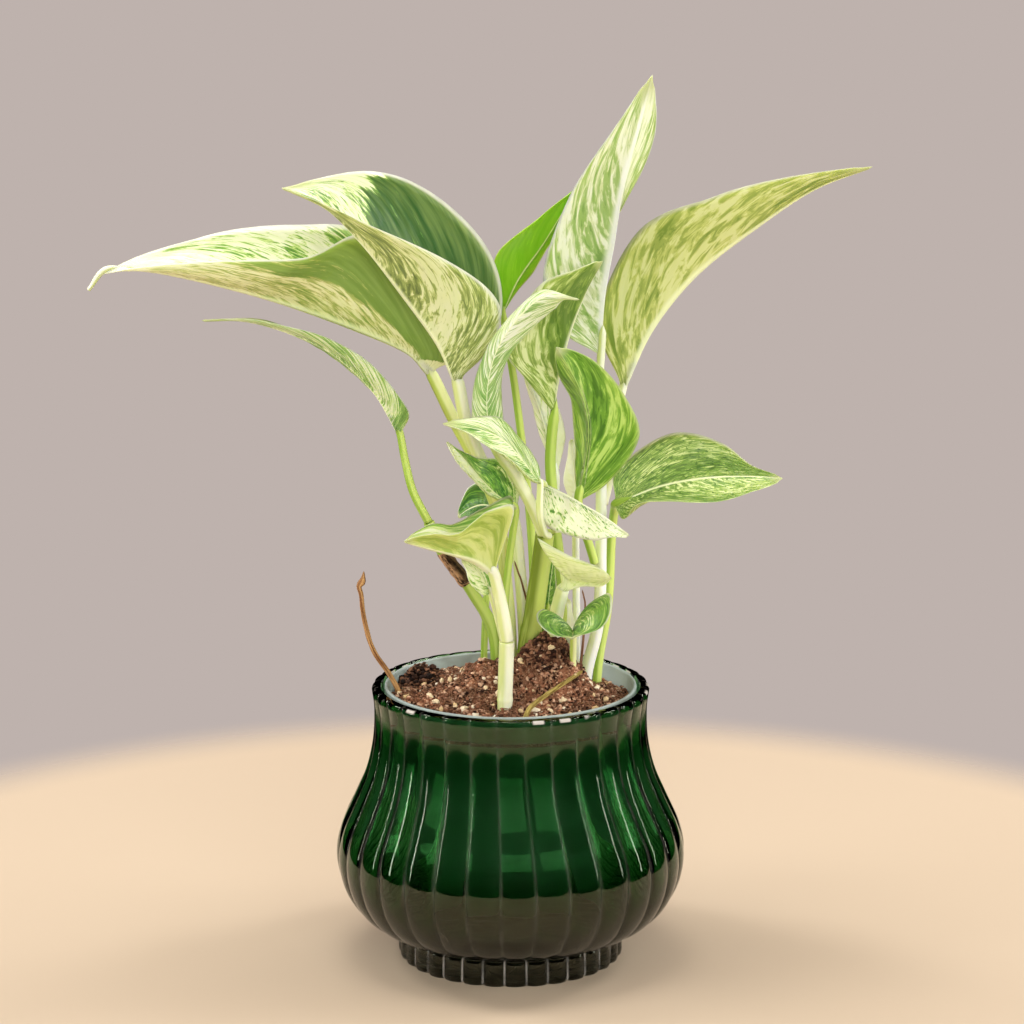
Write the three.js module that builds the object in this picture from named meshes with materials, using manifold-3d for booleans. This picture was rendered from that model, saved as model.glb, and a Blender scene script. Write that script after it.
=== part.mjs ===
// A marble queen pothos in its nursery pot, standing in a fluted glass cachepot.
// Millimetres, +Z up. The origin is the middle of the glass foot's flat underside.
import * as THREE from 'three';
import { mergeVertices } from 'three/addons/utils/BufferGeometryUtils.js';
import Module from 'manifold-3d';

const wasm = await Module();
wasm.setup();

// Clearance kept between pieces that touch.
const GAP = 0.3;

// Glass pot: outside, rim and inside as [radius, height], with upright flutes pressed into
// the outside.
const FLUTES = 32;
const STEPS_PER_FLUTE = 3;
const FLUTE_DEPTH = 1.0;
const GLASS_OUTSIDE = [
  [31.4, 0], [31.3, 6.6], [32.4, 7.8], [38.5, 10.4], [43.8, 15], [47.4, 21.5], [48.8, 29.5],
  [47.4, 37], [43.6, 45.5], [40.2, 53.5], [37.9, 63], [38.6, 75.7],
];
const GLASS_RIM = [[38.1, 77.0], [36.9, 77.3], [35.8, 76.6]];
const GLASS_INSIDE = [
  [35.4, 71], [35.5, 61], [39.5, 49], [44.6, 38], [45.4, 28], [41.5, 19.4], [35.5, 14.6], [33, 14],
];
const GLASS_FLOOR = 14;
const BORE_SEGMENTS = 36;

// Nursery pot: 70 mm across its lip, with a tapered wall and a banded lip.
const LINER_LIP_RADIUS = 35;
const LINER_BASE_RADIUS = 24.5;
const LINER_SHOULDER_RADIUS = 33.2;
const LINER_WALL = 1.0;
const LINER_HEIGHT = 61.5;
const LINER_LIP_HEIGHT = 7;
const LINER_SEGMENTS = 40;
const DRAIN_HOLES = 5;
const DRAIN_HOLE_RADIUS = 2.5;
const DRAIN_RING_RADIUS = 16;

// Potting mix: a level near the wall, heaps as [x, y, height, spread], crumbs and perlite.
const SOIL_LEVEL = 72;
const SOIL_EDGE = [69.8, 74.5];
const SOIL_CLEARANCE = 0.45;
const SOIL_HEAPS = [
  [8, 0, 12, 5.5], [14.5, -3, 11, 5], [-4, -4, 9, 7], [24, 6, 2.5, 6], [-17, -8, 4, 8], [-29, -4, 2.5, 4],
  [-14, 22, -2, 9], [-24, 10, -1.5, 6], [4, -24, 2, 9], [26, -12, 3, 8],
];
const SOIL_RINGS = 9;
const SOIL_SEGMENTS = 34;
const CRUMB_HEIGHT = 0.8;
const PERLITE_GRAINS = 22;
const PERLITE_RADIUS = [0.8, 1.5];

// Blades: thickness, how many faces run along a blade and across each half of it, and
// the half widths of its neck and its point.
const BLADE = 0.7;
const BLADE_ROWS = 10;
const HALF_COLUMNS = 2;
const BLADE_NECK = 1.3;
const BLADE_POINT = 0.9;

// Petioles and vines: a petiole runs on inside its blade's rib for a part of the rib's
// length, and thins there to the tip radius.
const PETIOLE_SIDES = 6;
const PETIOLE_REACH = 0.12;
const PETIOLE_TIP = 0.4;
const STEM_SIDES = 9;
const ROD_STEPS = 8;

// The dried sheath: which stretch of its vine it wraps, and its radius at both ends.
const SHEATH_SPAN = [0.69, 0.86];
const SHEATH_GIRTH = [2.7, 2.5];

const vec = ([x, y, z]) => new THREE.Vector3(x, y, z);
const curve = (points) => new THREE.CatmullRomCurve3(points.map(vec), false, 'catmullrom', 0.5);

// A repeatable stream of numbers between 0 and 1.
function randomStream(seed) {
  let state = seed;
  return () => {
    state = (state * 1664525 + 1013904223) % 4294967296;
    return state / 4294967296;
  };
}

// Turns every face the other way when a closed shape is inside out.
function facingOut(geometry) {
  const place = geometry.attributes.position;
  const index = geometry.index.array;
  const corner = [new THREE.Vector3(), new THREE.Vector3(), new THREE.Vector3()];
  let volume = 0;
  for (let i = 0; i < index.length; i += 3) {
    corner.forEach((c, k) => c.fromBufferAttribute(place, index[i + k]));
    volume += corner[0].dot(corner[1].clone().cross(corner[2]));
  }
  if (volume < 0) {
    for (let i = 0; i < index.length; i += 3) {
      [index[i + 1], index[i + 2]] = [index[i + 2], index[i + 1]];
    }
  }
  return geometry;
}

function welded(geometry) {
  geometry.deleteAttribute('normal');
  geometry.deleteAttribute('uv');
  return facingOut(mergeVertices(geometry, 1e-4));
}

function toSolid(geometry) {
  return new wasm.Manifold(new wasm.Mesh({
    numProp: 3,
    vertProperties: new Float32Array(geometry.attributes.position.array),
    triVerts: new Uint32Array(geometry.index.array),
  }));
}

function fromSolid(solid) {
  const mesh = solid.getMesh();
  const geometry = new THREE.BufferGeometry();
  const places = new Float32Array(mesh.vertProperties);
  geometry.setAttribute('position', new THREE.BufferAttribute(places, 3));
  geometry.setIndex(new THREE.BufferAttribute(new Uint32Array(mesh.triVerts), 1));
  return geometry;
}

// A profile of [radius, height] points turned about the upright axis.
function turned(profile, segments) {
  const points = profile.map(([r, z]) => new THREE.Vector2(r, z));
  return new THREE.LatheGeometry(points, segments).rotateX(Math.PI / 2);
}

// A closed rod that follows a route, its radius going from girth[0] to girth[1], and to
// the tip radius in its last step.
function rod(route, girth, sides, tip = girth[1]) {
  const path = curve(route);
  const frames = path.computeFrenetFrames(ROD_STEPS, false);
  const geometry = new THREE.CylinderGeometry(1, 1, 1, sides, ROD_STEPS);
  const place = geometry.attributes.position;
  for (let i = 0; i < place.count; i += 1) {
    const along = place.getY(i) + 0.5;
    const step = Math.round(along * ROD_STEPS);
    const radius = step === ROD_STEPS ? tip : THREE.MathUtils.lerp(girth[0], girth[1], along);
    const point = path.getPointAt(along)
      .addScaledVector(frames.normals[step], place.getX(i) * radius)
      .addScaledVector(frames.binormals[step], place.getZ(i) * radius);
    place.setXYZ(i, point.x, point.y, point.z);
  }
  return toSolid(welded(geometry));
}

// Where on the rib the veins leave that reach the edge at t: they sweep forward.
const veinFoot = (t) => t ** 1.3;

// The edge of one half, through its neck, its four given places and its point.
function bladeEdge(leaf, rib, side) {
  const offsets = (side < 0 ? leaf.left : leaf.right).map(vec);
  const places = offsets.map((offset, i) => rib.getPoint(veinFoot((i + 1) / 5)).add(offset));
  const neck = rib.getPoint(0).add(offsets[0].clone().setLength(BLADE_NECK));
  const point = rib.getPoint(1).add(offsets[3].clone().setLength(BLADE_POINT));
  return new THREE.CatmullRomCurve3([neck, ...places, point], false, 'catmullrom', 0.5);
}

// One point of a blade: t runs from neck to point, across from 0 on the rib to 1 on the edge.
function bladePoint(leaf, rib, edge, side, t, across) {
  const { cup = 0.1, wave = 0.5, waves = 2 } = leaf;
  const foot = rib.getPoint(veinFoot(t));
  const reach = edge.getPoint(t).sub(foot);
  const size = reach.length();
  const normal = rib.getTangent(veinFoot(t)).cross(reach).multiplyScalar(side).normalize();
  const rise = cup * size * 4 * across * (1 - across)
    + wave * Math.sin(2 * Math.PI * waves * t + 1.2 * side) * across ** 2 * Math.sin(Math.PI * t);
  return foot.addScaledVector(reach, across).addScaledVector(normal, rise);
}

// A blade as a closed sheet, its two faces split into triangles alike.
function blade(leaf) {
  const rib = curve(leaf.rib);
  const edges = [-1, 1].map((side) => bladeEdge(leaf, rib, side));
  const columns = 2 * HALF_COLUMNS + 1;
  const rows = (leaf.rows ?? BLADE_ROWS) + 1;
  const middle = [];
  for (let row = 0; row < rows; row += 1) {
    for (let column = 0; column < columns; column += 1) {
      const across = column / HALF_COLUMNS - 1;
      const side = across < 0 ? -1 : 1;
      const edge = edges[across < 0 ? 0 : 1];
      middle.push(bladePoint(leaf, rib, edge, side, row / (rows - 1), Math.abs(across)));
    }
  }
  const faces = [];
  for (let row = 0; row < rows - 1; row += 1) {
    for (let column = 0; column < columns - 1; column += 1) {
      const a = row * columns + column;
      const b = a + 1;
      const c = a + columns;
      const d = c + 1;
      faces.push(...(column < HALF_COLUMNS ? [[a, b, c], [b, d, c]] : [[a, b, d], [a, d, c]]));
    }
  }
  const sheet = new THREE.BufferGeometry().setFromPoints(middle);
  sheet.setIndex(faces.flat());
  sheet.computeVertexNormals();
  const normals = sheet.attributes.normal;
  const shift = (side) => middle.map((p, i) => p.clone()
    .addScaledVector(new THREE.Vector3().fromBufferAttribute(normals, i), side * BLADE / 2));
  const count = middle.length;
  const rim = [];
  for (let column = 0; column < columns; column += 1) rim.push(column);
  for (let row = 1; row < rows; row += 1) rim.push(row * columns + columns - 1);
  for (let column = columns - 2; column >= 0; column -= 1) rim.push((rows - 1) * columns + column);
  for (let row = rows - 2; row > 0; row -= 1) rim.push(row * columns);
  const walls = rim.flatMap((a, i) => {
    const b = rim[(i + 1) % rim.length];
    return [[b, a, a + count], [b, a + count, b + count]];
  });
  const under = faces.map(([a, b, c]) => [a + count, c + count, b + count]);
  const solid = new THREE.BufferGeometry().setFromPoints([...shift(1), ...shift(-1)]);
  solid.setIndex([...faces, ...under, ...walls].flat());
  return toSolid(facingOut(solid));
}

// The petiole runs from where it is carried, up into the blade's rib.
function petioleRoute(leaf) {
  return [...leaf.stalk, leaf.rib[0], curve(leaf.rib).getPoint(PETIOLE_REACH).toArray()];
}

function petiole(leaf) {
  return rod(petioleRoute(leaf), leaf.girth, PETIOLE_SIDES, PETIOLE_TIP);
}

// Each leaf: its rib from neck to point, how far the edge of each half stands off the rib at
// four places on the way, the route of its petiole up from its carrier, and its girth.
// Left and right are seen from the neck, looking at the upper face.
const leaves = [
  {
    name: 'leaf_far_left', colour: '#b9c07a', carrier: 'soil', girth: [1.4, 1.3],
    rib: [
      [-22, 4, 164.5], [-28, 4, 170.5], [-42, 2, 177], [-62, 0, 184.5], [-81, -2, 190],
      [-97, -4, 193.5], [-108, -5, 194], [-113.5, -5, 188],
    ],
    left: [[11, -4, 2.5], [8, -12, 24.5], [19, -16, 10.5], [15, -5.5, 2.5]],
    right: [[7, 10, 13], [5, 16.5, 22.5], [16, 16, 15.5], [15.5, 12.5, 6.5]],
    stalk: [
      [0, 10.5, 61], [0, 10.2, 88], [-1.8, 8, 110], [-3.5, 4.5, 125], [-8.5, 4, 137.5], [-15.5, 4, 151],
    ],
  },
  {
    name: 'leaf_upper_left', colour: '#4f8f4a', carrier: 'soil', girth: [1.3, 1.6],
    rib: [
      [-14.5, -4, 164], [-19, -8, 174.5], [-27.5, -14, 187.5], [-38.5, -24, 203.5],
      [-49, -33, 215], [-58.5, -40, 219.5],
    ],
    left: [[11, -3.5, 2.5], [20, -3, 4.5], [17, -4.5, 2], [5, -9, 0]],
    right: [[14, 8.5, 8], [17.5, 12.5, 16.5], [14.5, 13.5, 16.5], [10, 11, 9]],
    stalk: [
      [3.8, 10.5, 61], [3.8, 10, 88], [2.4, 6, 110], [0.3, 2.6, 125], [-6, 0, 136.5], [-11.6, -3, 150],
    ],
  },
  {
    name: 'leaf_bright_back', colour: '#9bd13c', carrier: 'soil', girth: [1.3, 1.0],
    rib: [[-2, 22, 178], [2.5, 22, 187.5], [9, 22, 197], [16, 22, 208.5], [22, 22, 215.5]],
    left: [[-4.5, -7, 10], [-3, -9, 11], [-2, -8, 7.5], [-1, -4, 2]],
    right: [[3, 13, 1], [4, 14, 0], [3.5, 10, 0], [3, 4, 0]],
    stalk: [[7, 15, 61], [7, 15, 88], [5.5, 18, 120], [1.5, 21, 155]],
  },
  {
    name: 'leaf_tallest', colour: '#c9d6b0', carrier: 'stem_right', girth: [1.2, 1.1],
    rib: [
      [25, 14, 168], [26, 12, 184], [28.5, 10, 199.5], [30.5, 8, 214], [34, 6, 229], [38, 4, 245],
    ],
    left: [[-13, -6, -1.5], [-18.5, -6, -1], [-14.5, -6, 3], [-6.5, -5.5, 4]],
    right: [[-3, 16, 1], [-3, 17, 0], [2.5, 7, 2], [6, 5.5, 3]],
    stalk: [[24.6, 6.2, 137.3], [24.4, 9, 144], [24.4, 13, 156]],
  },
  {
    name: 'leaf_rolled', colour: '#cfe6b0', carrier: 'stem_main', girth: [1.6, 1.8],
    rib: [
      [-3, -14, 145.5], [-6, -15, 154.5], [-6, -17, 164.5], [-3.5, -20, 174.5],
      [2.5, -24, 184], [9, -27, 189.5], [18, -32, 189.5],
    ],
    left: [[-4.5, 3.5, -1.5], [-3.5, 3.5, 1], [-0.5, 3.5, 3.5], [2.5, 2.5, 3.5]],
    right: [[3.5, 3.5, 0.5], [4, 3.5, 3.5], [6, 3.5, 1], [6.5, 1.5, -1]],
    cup: -0.05, wave: 0.3,
    stalk: [[8.8, -6.8, 121.5], [6.1, -9, 129], [1.6, -12.5, 138.5]],
  },
  {
    name: 'leaf_far_right', colour: '#b5bf6a', carrier: 'stem_right', girth: [1.2, 1.2],
    rib: [
      [31.5, 22, 157.5], [39, 22, 173.5], [51, 20, 189], [67, 16, 202.5], [82.5, 12, 213.5], [98, 8, 220],
    ],
    left: [[-4, 12, 8], [-5, 15, 13], [-4, 14, 9], [-2, 8, 4]],
    right: [[-11.5, -4, 9.5], [-9.5, -9, 20.5], [-6, -12, 15], [-2, -8, 6.5]],
    stalk: [[25.8, 6.8, 127], [27.6, 10.5, 134], [29.4, 17, 146]],
  },
  {
    name: 'leaf_middle', colour: '#8fae5a', carrier: 'soil', girth: [1.5, 1.5],
    rib: [[12, 0, 154], [13.5, -2, 164], [16, -5, 175.5], [20, -8.5, 187.5], [24.5, -12, 197]],
    left: [[-9, -7, 6], [-15, -7.5, 7], [-10, -8, 13], [-2.5, -5.5, 7.5]],
    right: [[-5, 5, 3.5], [-7, 4.5, 7], [-6, 3.5, 6.5], [-4, 3.5, 3.5]],
    cup: -0.05,
    stalk: [[15, 8, 61], [14.5, 7, 100], [12.5, 6, 120], [11, 4, 137], [11.2, 2, 146]],
  },
  {
    name: 'leaf_middle_pale', colour: '#e6efb4', carrier: 'soil', girth: [1.2, 1.1],
    rib: [[12.5, 7, 136.5], [10.5, 7, 144], [8.5, 8, 151.5], [5.5, 8, 160], [3, 8, 168.5]],
    left: [[-1.5, 3, 0], [-2, 3, 0], [-2, 3, 0], [-1.5, 2, 0]],
    right: [[3, 3, 1], [5, 3, 1], [5, 3, 1], [3, 2, 0]],
    wave: 0.2,
    stalk: [[12, 12.5, 61], [12, 12.5, 88], [12.2, 10, 120]],
  },
  {
    name: 'leaf_centre_right', colour: '#4d8f2c', carrier: 'stem_right', girth: [1.2, 1.2],
    rib: [
      [18.5, -4, 130.5], [20, -6, 139.5], [21, -10, 150.5], [19.5, -14, 160], [16, -18, 168.5],
      [12, -22, 175.5],
    ],
    left: [[-2, 9, 2], [-3, 11, 1], [-4, 9, 1], [-4, 5, -1]],
    right: [[7, 2, -1], [14.5, 8, 2], [10.5, 7.5, 3.5], [5, 4, 4]],
    stalk: [[23.2, 3.2, 111], [21.5, 1.6, 117], [19.2, -1.6, 124]],
  },
  {
    name: 'leaf_right', colour: '#79ad4b', carrier: 'soil', girth: [1.3, 1.2],
    rib: [[29, -4, 129.5], [40, -5, 134], [51, -8, 137], [62, -12, 138.5], [73, -17, 139]],
    left: [[-5, 13.5, 5], [1.5, 18.5, 10.5], [6.5, 15, 7], [4, 8, 1.5]],
    right: [[-3.5, -4, -6], [-6, -12.5, -2], [4, -15, -3], [4, -10, -2]],
    stalk: [[23.6, 10, 61], [24.6, 9.6, 80], [27.2, 8.5, 98], [28, 7, 117], [28.6, 2, 126.5]],
  },
  {
    name: 'leaf_cream_left', colour: '#e9edc4', carrier: 'stem_main', girth: [1.0, 0.9],
    rib: [
      [8, -17, 138], [6.5, -17, 139.5], [3, -19, 144.5], [-1.5, -22, 150], [-7.5, -25, 153.5],
      [-18, -28, 156],
    ],
    left: [[-1, -7, 1.5], [-4, -10, 3.5], [-5.5, -9.5, 2], [-5.5, -7, 1.5]],
    right: [[0.5, 4, 2], [0, 5, 4.5], [-1.5, 2.5, 7], [-1.5, 5, 3.5]],
    stalk: [[10.4, -9.2, 121.4], [9, -13.5, 123.5], [7.8, -17, 130]],
  },
  {
    name: 'leaf_cream_right', colour: '#dfe6ae', carrier: 'stem_main', girth: [1.0, 0.9],
    rib: [[8, -9, 136], [13.5, -13, 134.5], [19, -18.5, 132.5], [25, -24, 130], [31.5, -29, 126]],
    left: [[1, 7, -3], [1, 9, -3], [0, 7, -3], [0, 4, -2]],
    right: [[-1.5, -1, -9.5], [0.5, -6, -10], [3, -8.5, -8], [2.5, -6, -4.5]],
    stalk: [[12.4, -6, 121.8], [11.8, -6.6, 129]],
  },
  {
    name: 'leaf_mottled_small', colour: '#5c9142', carrier: 'soil', girth: [1.2, 1.0],
    rib: [[1.5, -6, 129], [-3.5, -9, 132.5], [-7.5, -13, 137.5], [-12.5, -18, 144.5], [-17, -22, 150]],
    left: [[-0.5, -2.5, 1], [-3, -7, 2.5], [-3.5, -7.5, 3.5], [-2.5, -6, 2]],
    right: [[4, 5.5, 5.5], [3, 6, 8], [-1, 6.5, 5], [-0.5, 5, 1]],
    stalk: [[-1.8, 4, 61], [-1.8, 4, 88.8], [-1.5, 3, 100.5], [-0.4, 1.6, 112.1], [0.7, -1.6, 121.2]],
  },
  {
    name: 'leaf_round_dark', colour: '#3f8a35', carrier: 'soil', girth: [1.0, 0.9],
    rib: [[-4, 9.5, 125.5], [-8, 9.5, 126], [-11.5, 8.5, 125], [-14.5, 7.5, 123]],
    left: [[-1, -4, -3], [-1, -5, -4], [-1, -4, -3], [0, -2, -1]],
    right: [[2, 3, 3.5], [1, 4, 6], [-1.5, 3.5, 5], [-1.5, 2, 2]],
    wave: 0.2, rows: 8,
    stalk: [[-8, 14, 61], [-7, 13, 95], [-5, 11, 117]],
  },
  {
    name: 'leaf_front_left', colour: '#b4c46a', carrier: 'stem_front', girth: [2.0, 1.5],
    rib: [[-4.5, -22, 114], [-9.5, -26, 118.5], [-15.5, -30, 121.5], [-22, -34, 124], [-28, -38, 126.5]],
    left: [[6.5, -9, 14.3], [4, -7, 12.7], [1.5, -6, 5.4], [3, -4, 4]],
    right: [[7.5, 12.5, 15.8], [3.5, 13, 11], [0.5, 11, 5.5], [0.5, 7, 4.5]],
    cup: -0.06,
    stalk: [[-1, -18, 94.5], [-2.6, -19.6, 105]],
  },
  {
    name: 'leaf_front_left_lower', colour: '#9dbb52', carrier: 'stem_front', girth: [0.9, 0.8],
    rib: [[-5.5, -15, 107.5], [-9, -17, 113], [-13, -19, 117.5]],
    left: [[-1, -2, -2], [-2, -3, -2], [-2, -3, -2], [-1, -1.5, -1]],
    right: [[1, 3, 1.5], [1, 4, 2], [1, 4, 2], [0.5, 2, 1]],
    wave: 0.2, rows: 7,
    stalk: [[-1.2, -15.6, 90], [-3.4, -14.6, 99]],
  },
  {
    name: 'leaf_pale_wedge', colour: '#c6d873', carrier: 'soil', girth: [1.6, 1.4],
    rib: [[14.5, -12, 108], [19.5, -14, 111], [24, -17, 111.5], [27, -20, 112.5]],
    left: [[-1, 7, 7], [-1, 8, 9], [-1, 7, 7], [-1, 5, 4]],
    right: [[-8.5, -7.5, 12.5], [-6, -9, 11], [-3.5, -7.5, 7.5], [-1.5, -4.5, 4.5]],
    wave: 0.3,
    stalk: [[11.6, 2.6, 61], [11.6, 2.6, 82], [12, -1.5, 91], [12.8, -7.5, 100]],
  },
  {
    name: 'leaf_low_saddle', colour: '#7fae5c', carrier: 'soil', girth: [1.0, 0.9],
    rib: [[17, -11, 95], [17, -16, 95.5], [16.5, -22, 96]],
    left: [[5, 6, 6], [9.5, 5, 8.5], [9.5, -1, 7.5], [6.5, -3, 3]],
    right: [[-6, 1.5, 4.5], [-9, 0.5, 4.5], [-8, -2.5, 3], [-4.5, -3, 1.5]],
    wave: 0.2, cup: -0.06, rows: 8,
    stalk: [[17.2, -3, 61], [17.2, -4, 82], [17.2, -8.5, 91.5]],
  },
  {
    name: 'leaf_thin_left', colour: '#8fbf5a', carrier: 'stem_left', girth: [1.2, 1.0],
    rib: [
      [-30.5, 2, 148.5], [-37, 0, 160], [-48, -3, 171], [-60, -5, 177], [-71.5, -8, 180.5], [-82.5, -12, 181],
    ],
    left: [[6.5, -5, 0], [5.5, -6, 1.5], [3, -5, 2], [1.5, -3, 1]],
    right: [[0, 9, 0], [-1, 12, -1], [0, 9, -1], [0, 4, 0]],
    stalk: [[-22.6, 0.2, 123.3], [-26.8, 0, 132], [-29, 1, 141]],
  },
  {
    name: 'leaf_sliver', colour: '#2f7a2c', carrier: 'soil', girth: [0.9, 0.8],
    rib: [[10.4, 3.4, 99], [11, 3, 105], [12, 2.6, 113]],
    left: [[-1.4, 0, 0], [-1.7, 0, 0], [-1.5, 0, 0], [-0.9, 0, 0]],
    right: [[1.4, 0, 0], [1.7, 0, 0], [1.5, 0, 0], [0.9, 0, 0]],
    wave: 0.1, rows: 6,
    stalk: [[9.4, 8.8, 61], [9.4, 8.8, 85], [9.6, 5.5, 94]],
  },
  {
    name: 'leaf_pale_sprout', colour: '#eef2cf', carrier: 'soil', girth: [1.1, 1.1],
    rib: [[16.9, 2.4, 88], [16.7, 2.2, 94], [16, 2, 101]],
    left: [[-1.4, 0.6, 0], [-1.5, 0.6, 0], [-1.2, 0.4, 0], [-0.7, 0, 0]],
    right: [[1.4, 0.6, 0], [1.5, 0.6, 0], [1.2, 0.4, 0], [0.7, 0, 0]],
    wave: 0.1, rows: 6,
    stalk: [[16.4, 1.6, 61], [16.6, 2, 78]],
  },
  {
    name: 'leaf_pale_back', colour: '#e9efcf', carrier: 'soil', girth: [1.1, 1.0],
    rib: [[18, 11, 125], [17.8, 11.5, 132], [17.4, 12.5, 138], [17, 13.5, 144]],
    left: [[-2, 1.5, 0], [-3, 1.5, 0], [-2.5, 1.5, 0], [-1.5, 1, 0]],
    right: [[2, 1.5, 0], [3, 1.5, 0], [2.5, 1.5, 0], [1.5, 1, 0]],
    wave: 0.2, rows: 7,
    stalk: [[18.5, 12, 61], [18.5, 12, 90], [18.2, 11, 112]],
  },
];

// Vines and other bare rods: route from the soil up, girth at its two ends.
const stems = [
  {
    name: 'stem_main', colour: '#7c9a34', girth: [3, 2.6],
    route: [[4.6, 5, 61], [4.6, 4, 84.5], [6.2, 2, 95], [8.1, -2, 110], [9.4, -6, 121.5]],
  },
  {
    name: 'stem_front', colour: '#dfe6b8', girth: [2.0, 2.1],
    route: [[-1.5, -17.5, 61], [-1.5, -17, 77.5], [-1, -18, 94]],
  },
  {
    name: 'stem_left', colour: '#8ba63c', girth: [1.8, 1.5],
    route: [[-4.2, 8, 61], [-4.4, 8, 87.7], [-11, 4, 103], [-18.9, 2, 114.5], [-22.4, 0.2, 123]],
  },
  {
    name: 'stem_right', colour: '#e8ecc0', girth: [1.8, 1.5],
    route: [[20, 5, 61], [21, 4.5, 78], [23.8, 4, 90.5], [24.8, 4, 100], [25, 5, 118], [25, 6, 136.5]],
  },
  {
    name: 'dried_stalk', colour: '#7a5a3a', girth: [0.8, 0.6],
    route: [
      [-29, -2, 66], [-30.2, -2, 73], [-32.6, -2, 79], [-38, -3, 88], [-40.3, -4, 97],
      [-40.8, -4, 105], [-39.6, -4, 107],
    ],
  },
  {
    name: 'fallen_twig', colour: '#8f7a3c', girth: [0.7, 0.6],
    route: [
      [3.2, -29, 73], [5, -26.5, 77.4], [9.4, -20, 79.4], [14.1, -12, 80.4], [18.2, -6.6, 81.6],
      [20, -5, 82.4],
    ],
  },
];

function leafSolid(leaf, stemSolids) {
  let solid = blade(leaf).add(petiole(leaf));
  const stem = stemSolids[leaf.carrier];
  if (stem) solid = solid.subtract(stem);
  return solid;
}

function glassPot() {
  const profile = [[0, 0], ...GLASS_OUTSIDE, ...GLASS_RIM, [0, GLASS_RIM.at(-1)[1]]];
  const body = turned(profile, FLUTES * STEPS_PER_FLUTE);
  const place = body.attributes.position;
  for (let i = 0; i < place.count; i += 1) {
    const ring = i % profile.length;
    const turn = Math.floor(i / profile.length);
    if (ring > 0 && ring <= GLASS_OUTSIDE.length + 1 && turn % STEPS_PER_FLUTE === 0) {
      const [r, z] = profile[ring];
      const shrink = 1 - (FLUTE_DEPTH * (z > 70 || z < 8 ? 0.6 : 1)) / r;
      place.setXYZ(i, place.getX(i) * shrink, place.getY(i) * shrink, z);
    }
  }
  const mouth = GLASS_RIM.at(-1);
  const bore = [[0, mouth[1] + 1], [mouth[0], mouth[1] + 1], mouth, ...GLASS_INSIDE, [0, GLASS_FLOOR]];
  return toSolid(welded(body)).subtract(toSolid(welded(turned(bore, BORE_SEGMENTS))));
}

function linerProfile(offset) {
  const top = GLASS_FLOOR + GAP + LINER_HEIGHT;
  const lip = top - LINER_LIP_HEIGHT;
  return [
    [LINER_BASE_RADIUS - offset, GLASS_FLOOR + GAP + offset],
    [LINER_SHOULDER_RADIUS - offset, lip - 1],
    [LINER_LIP_RADIUS - offset, lip + 0.4],
    [LINER_LIP_RADIUS - offset, top],
  ];
}

function linerPot() {
  const outside = linerProfile(0);
  const inside = linerProfile(LINER_WALL).reverse();
  const cup = [[0, outside[0][1]], ...outside, ...inside, [0, inside.at(-1)[1]]];
  let solid = toSolid(welded(turned(cup, LINER_SEGMENTS)));
  const drill = new THREE.CylinderGeometry(DRAIN_HOLE_RADIUS, DRAIN_HOLE_RADIUS, 6, 10)
    .rotateX(Math.PI / 2)
    .translate(DRAIN_RING_RADIUS, 0, GLASS_FLOOR + GAP);
  for (let hole = 0; hole < DRAIN_HOLES; hole += 1) {
    const bore = welded(drill.clone().rotateZ((hole * 2 * Math.PI) / DRAIN_HOLES));
    solid = solid.subtract(toSolid(bore));
  }
  return solid;
}

function soilHeight(x, y) {
  const heaps = SOIL_HEAPS.reduce((sum, [hx, hy, height, spread]) => (
    sum + height * Math.exp(-((x - hx) ** 2 + (y - hy) ** 2) / (2 * spread * spread))), 0);
  const crumbs = Math.sin(1.9 * x + 1.3 * y) * Math.sin(1.7 * y - 0.8 * x + 2)
    + 0.6 * Math.sin(3.1 * x + 0.7) * Math.sin(2.7 * y + 1.1);
  return SOIL_LEVEL + heaps + CRUMB_HEIGHT * crumbs;
}

function soil(holes) {
  const wall = linerProfile(LINER_WALL + SOIL_CLEARANCE);
  const rings = Array.from({ length: SOIL_RINGS }, (_, i) => (
    [wall[3][0] * (1 - i / (SOIL_RINGS - 1)), SOIL_LEVEL]));
  const profile = [[0, wall[0][1]], ...wall.slice(0, 3), ...rings];
  const geometry = turned(profile, SOIL_SEGMENTS);
  const place = geometry.attributes.position;
  for (let i = 0; i < place.count; i += 1) {
    const ring = i % profile.length;
    if (ring > 3) {
      const height = soilHeight(place.getX(i), place.getY(i));
      place.setZ(i, ring === 4 ? THREE.MathUtils.clamp(height, ...SOIL_EDGE) : height);
    }
  }
  let solid = toSolid(welded(geometry));
  const random = randomStream(7);
  for (let grain = 0; grain < PERLITE_GRAINS; grain += 1) {
    const radius = THREE.MathUtils.lerp(...PERLITE_RADIUS, random());
    const distance = 30 * Math.sqrt(random());
    const turn = 2 * Math.PI * random();
    const [x, y] = [distance * Math.cos(turn), distance * Math.sin(turn)];
    const bead = new THREE.OctahedronGeometry(radius, 0).rotateX(3 * random()).rotateY(3 * random());
    solid = solid.add(toSolid(welded(bead.translate(x, y, soilHeight(x, y)))));
  }
  holes.forEach((hole) => { solid = solid.subtract(hole); });
  const bodies = solid.decompose().sort((a, b) => b.volume() - a.volume());
  return bodies[0];
}

const plant = new THREE.Group();

function addPiece(name, geometry, colour, finish = {}) {
  const material = new THREE.MeshStandardMaterial({ color: colour, roughness: 0.5, metalness: 0, ...finish });
  const mesh = new THREE.Mesh(geometry, material);
  mesh.name = name;
  plant.add(mesh);
}

// A route drawn out by one gap at both ends, so that a hole made along it clears them too.
function drawnOut(route) {
  const [first, second] = route.slice(0, 2).map(vec);
  const [last, beforeLast] = route.slice(-2).reverse().map(vec);
  return [
    first.clone().add(first.clone().sub(second).setLength(GAP)).toArray(),
    ...route.slice(1, -1),
    last.clone().add(last.clone().sub(beforeLast).setLength(GAP)).toArray(),
  ];
}

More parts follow.
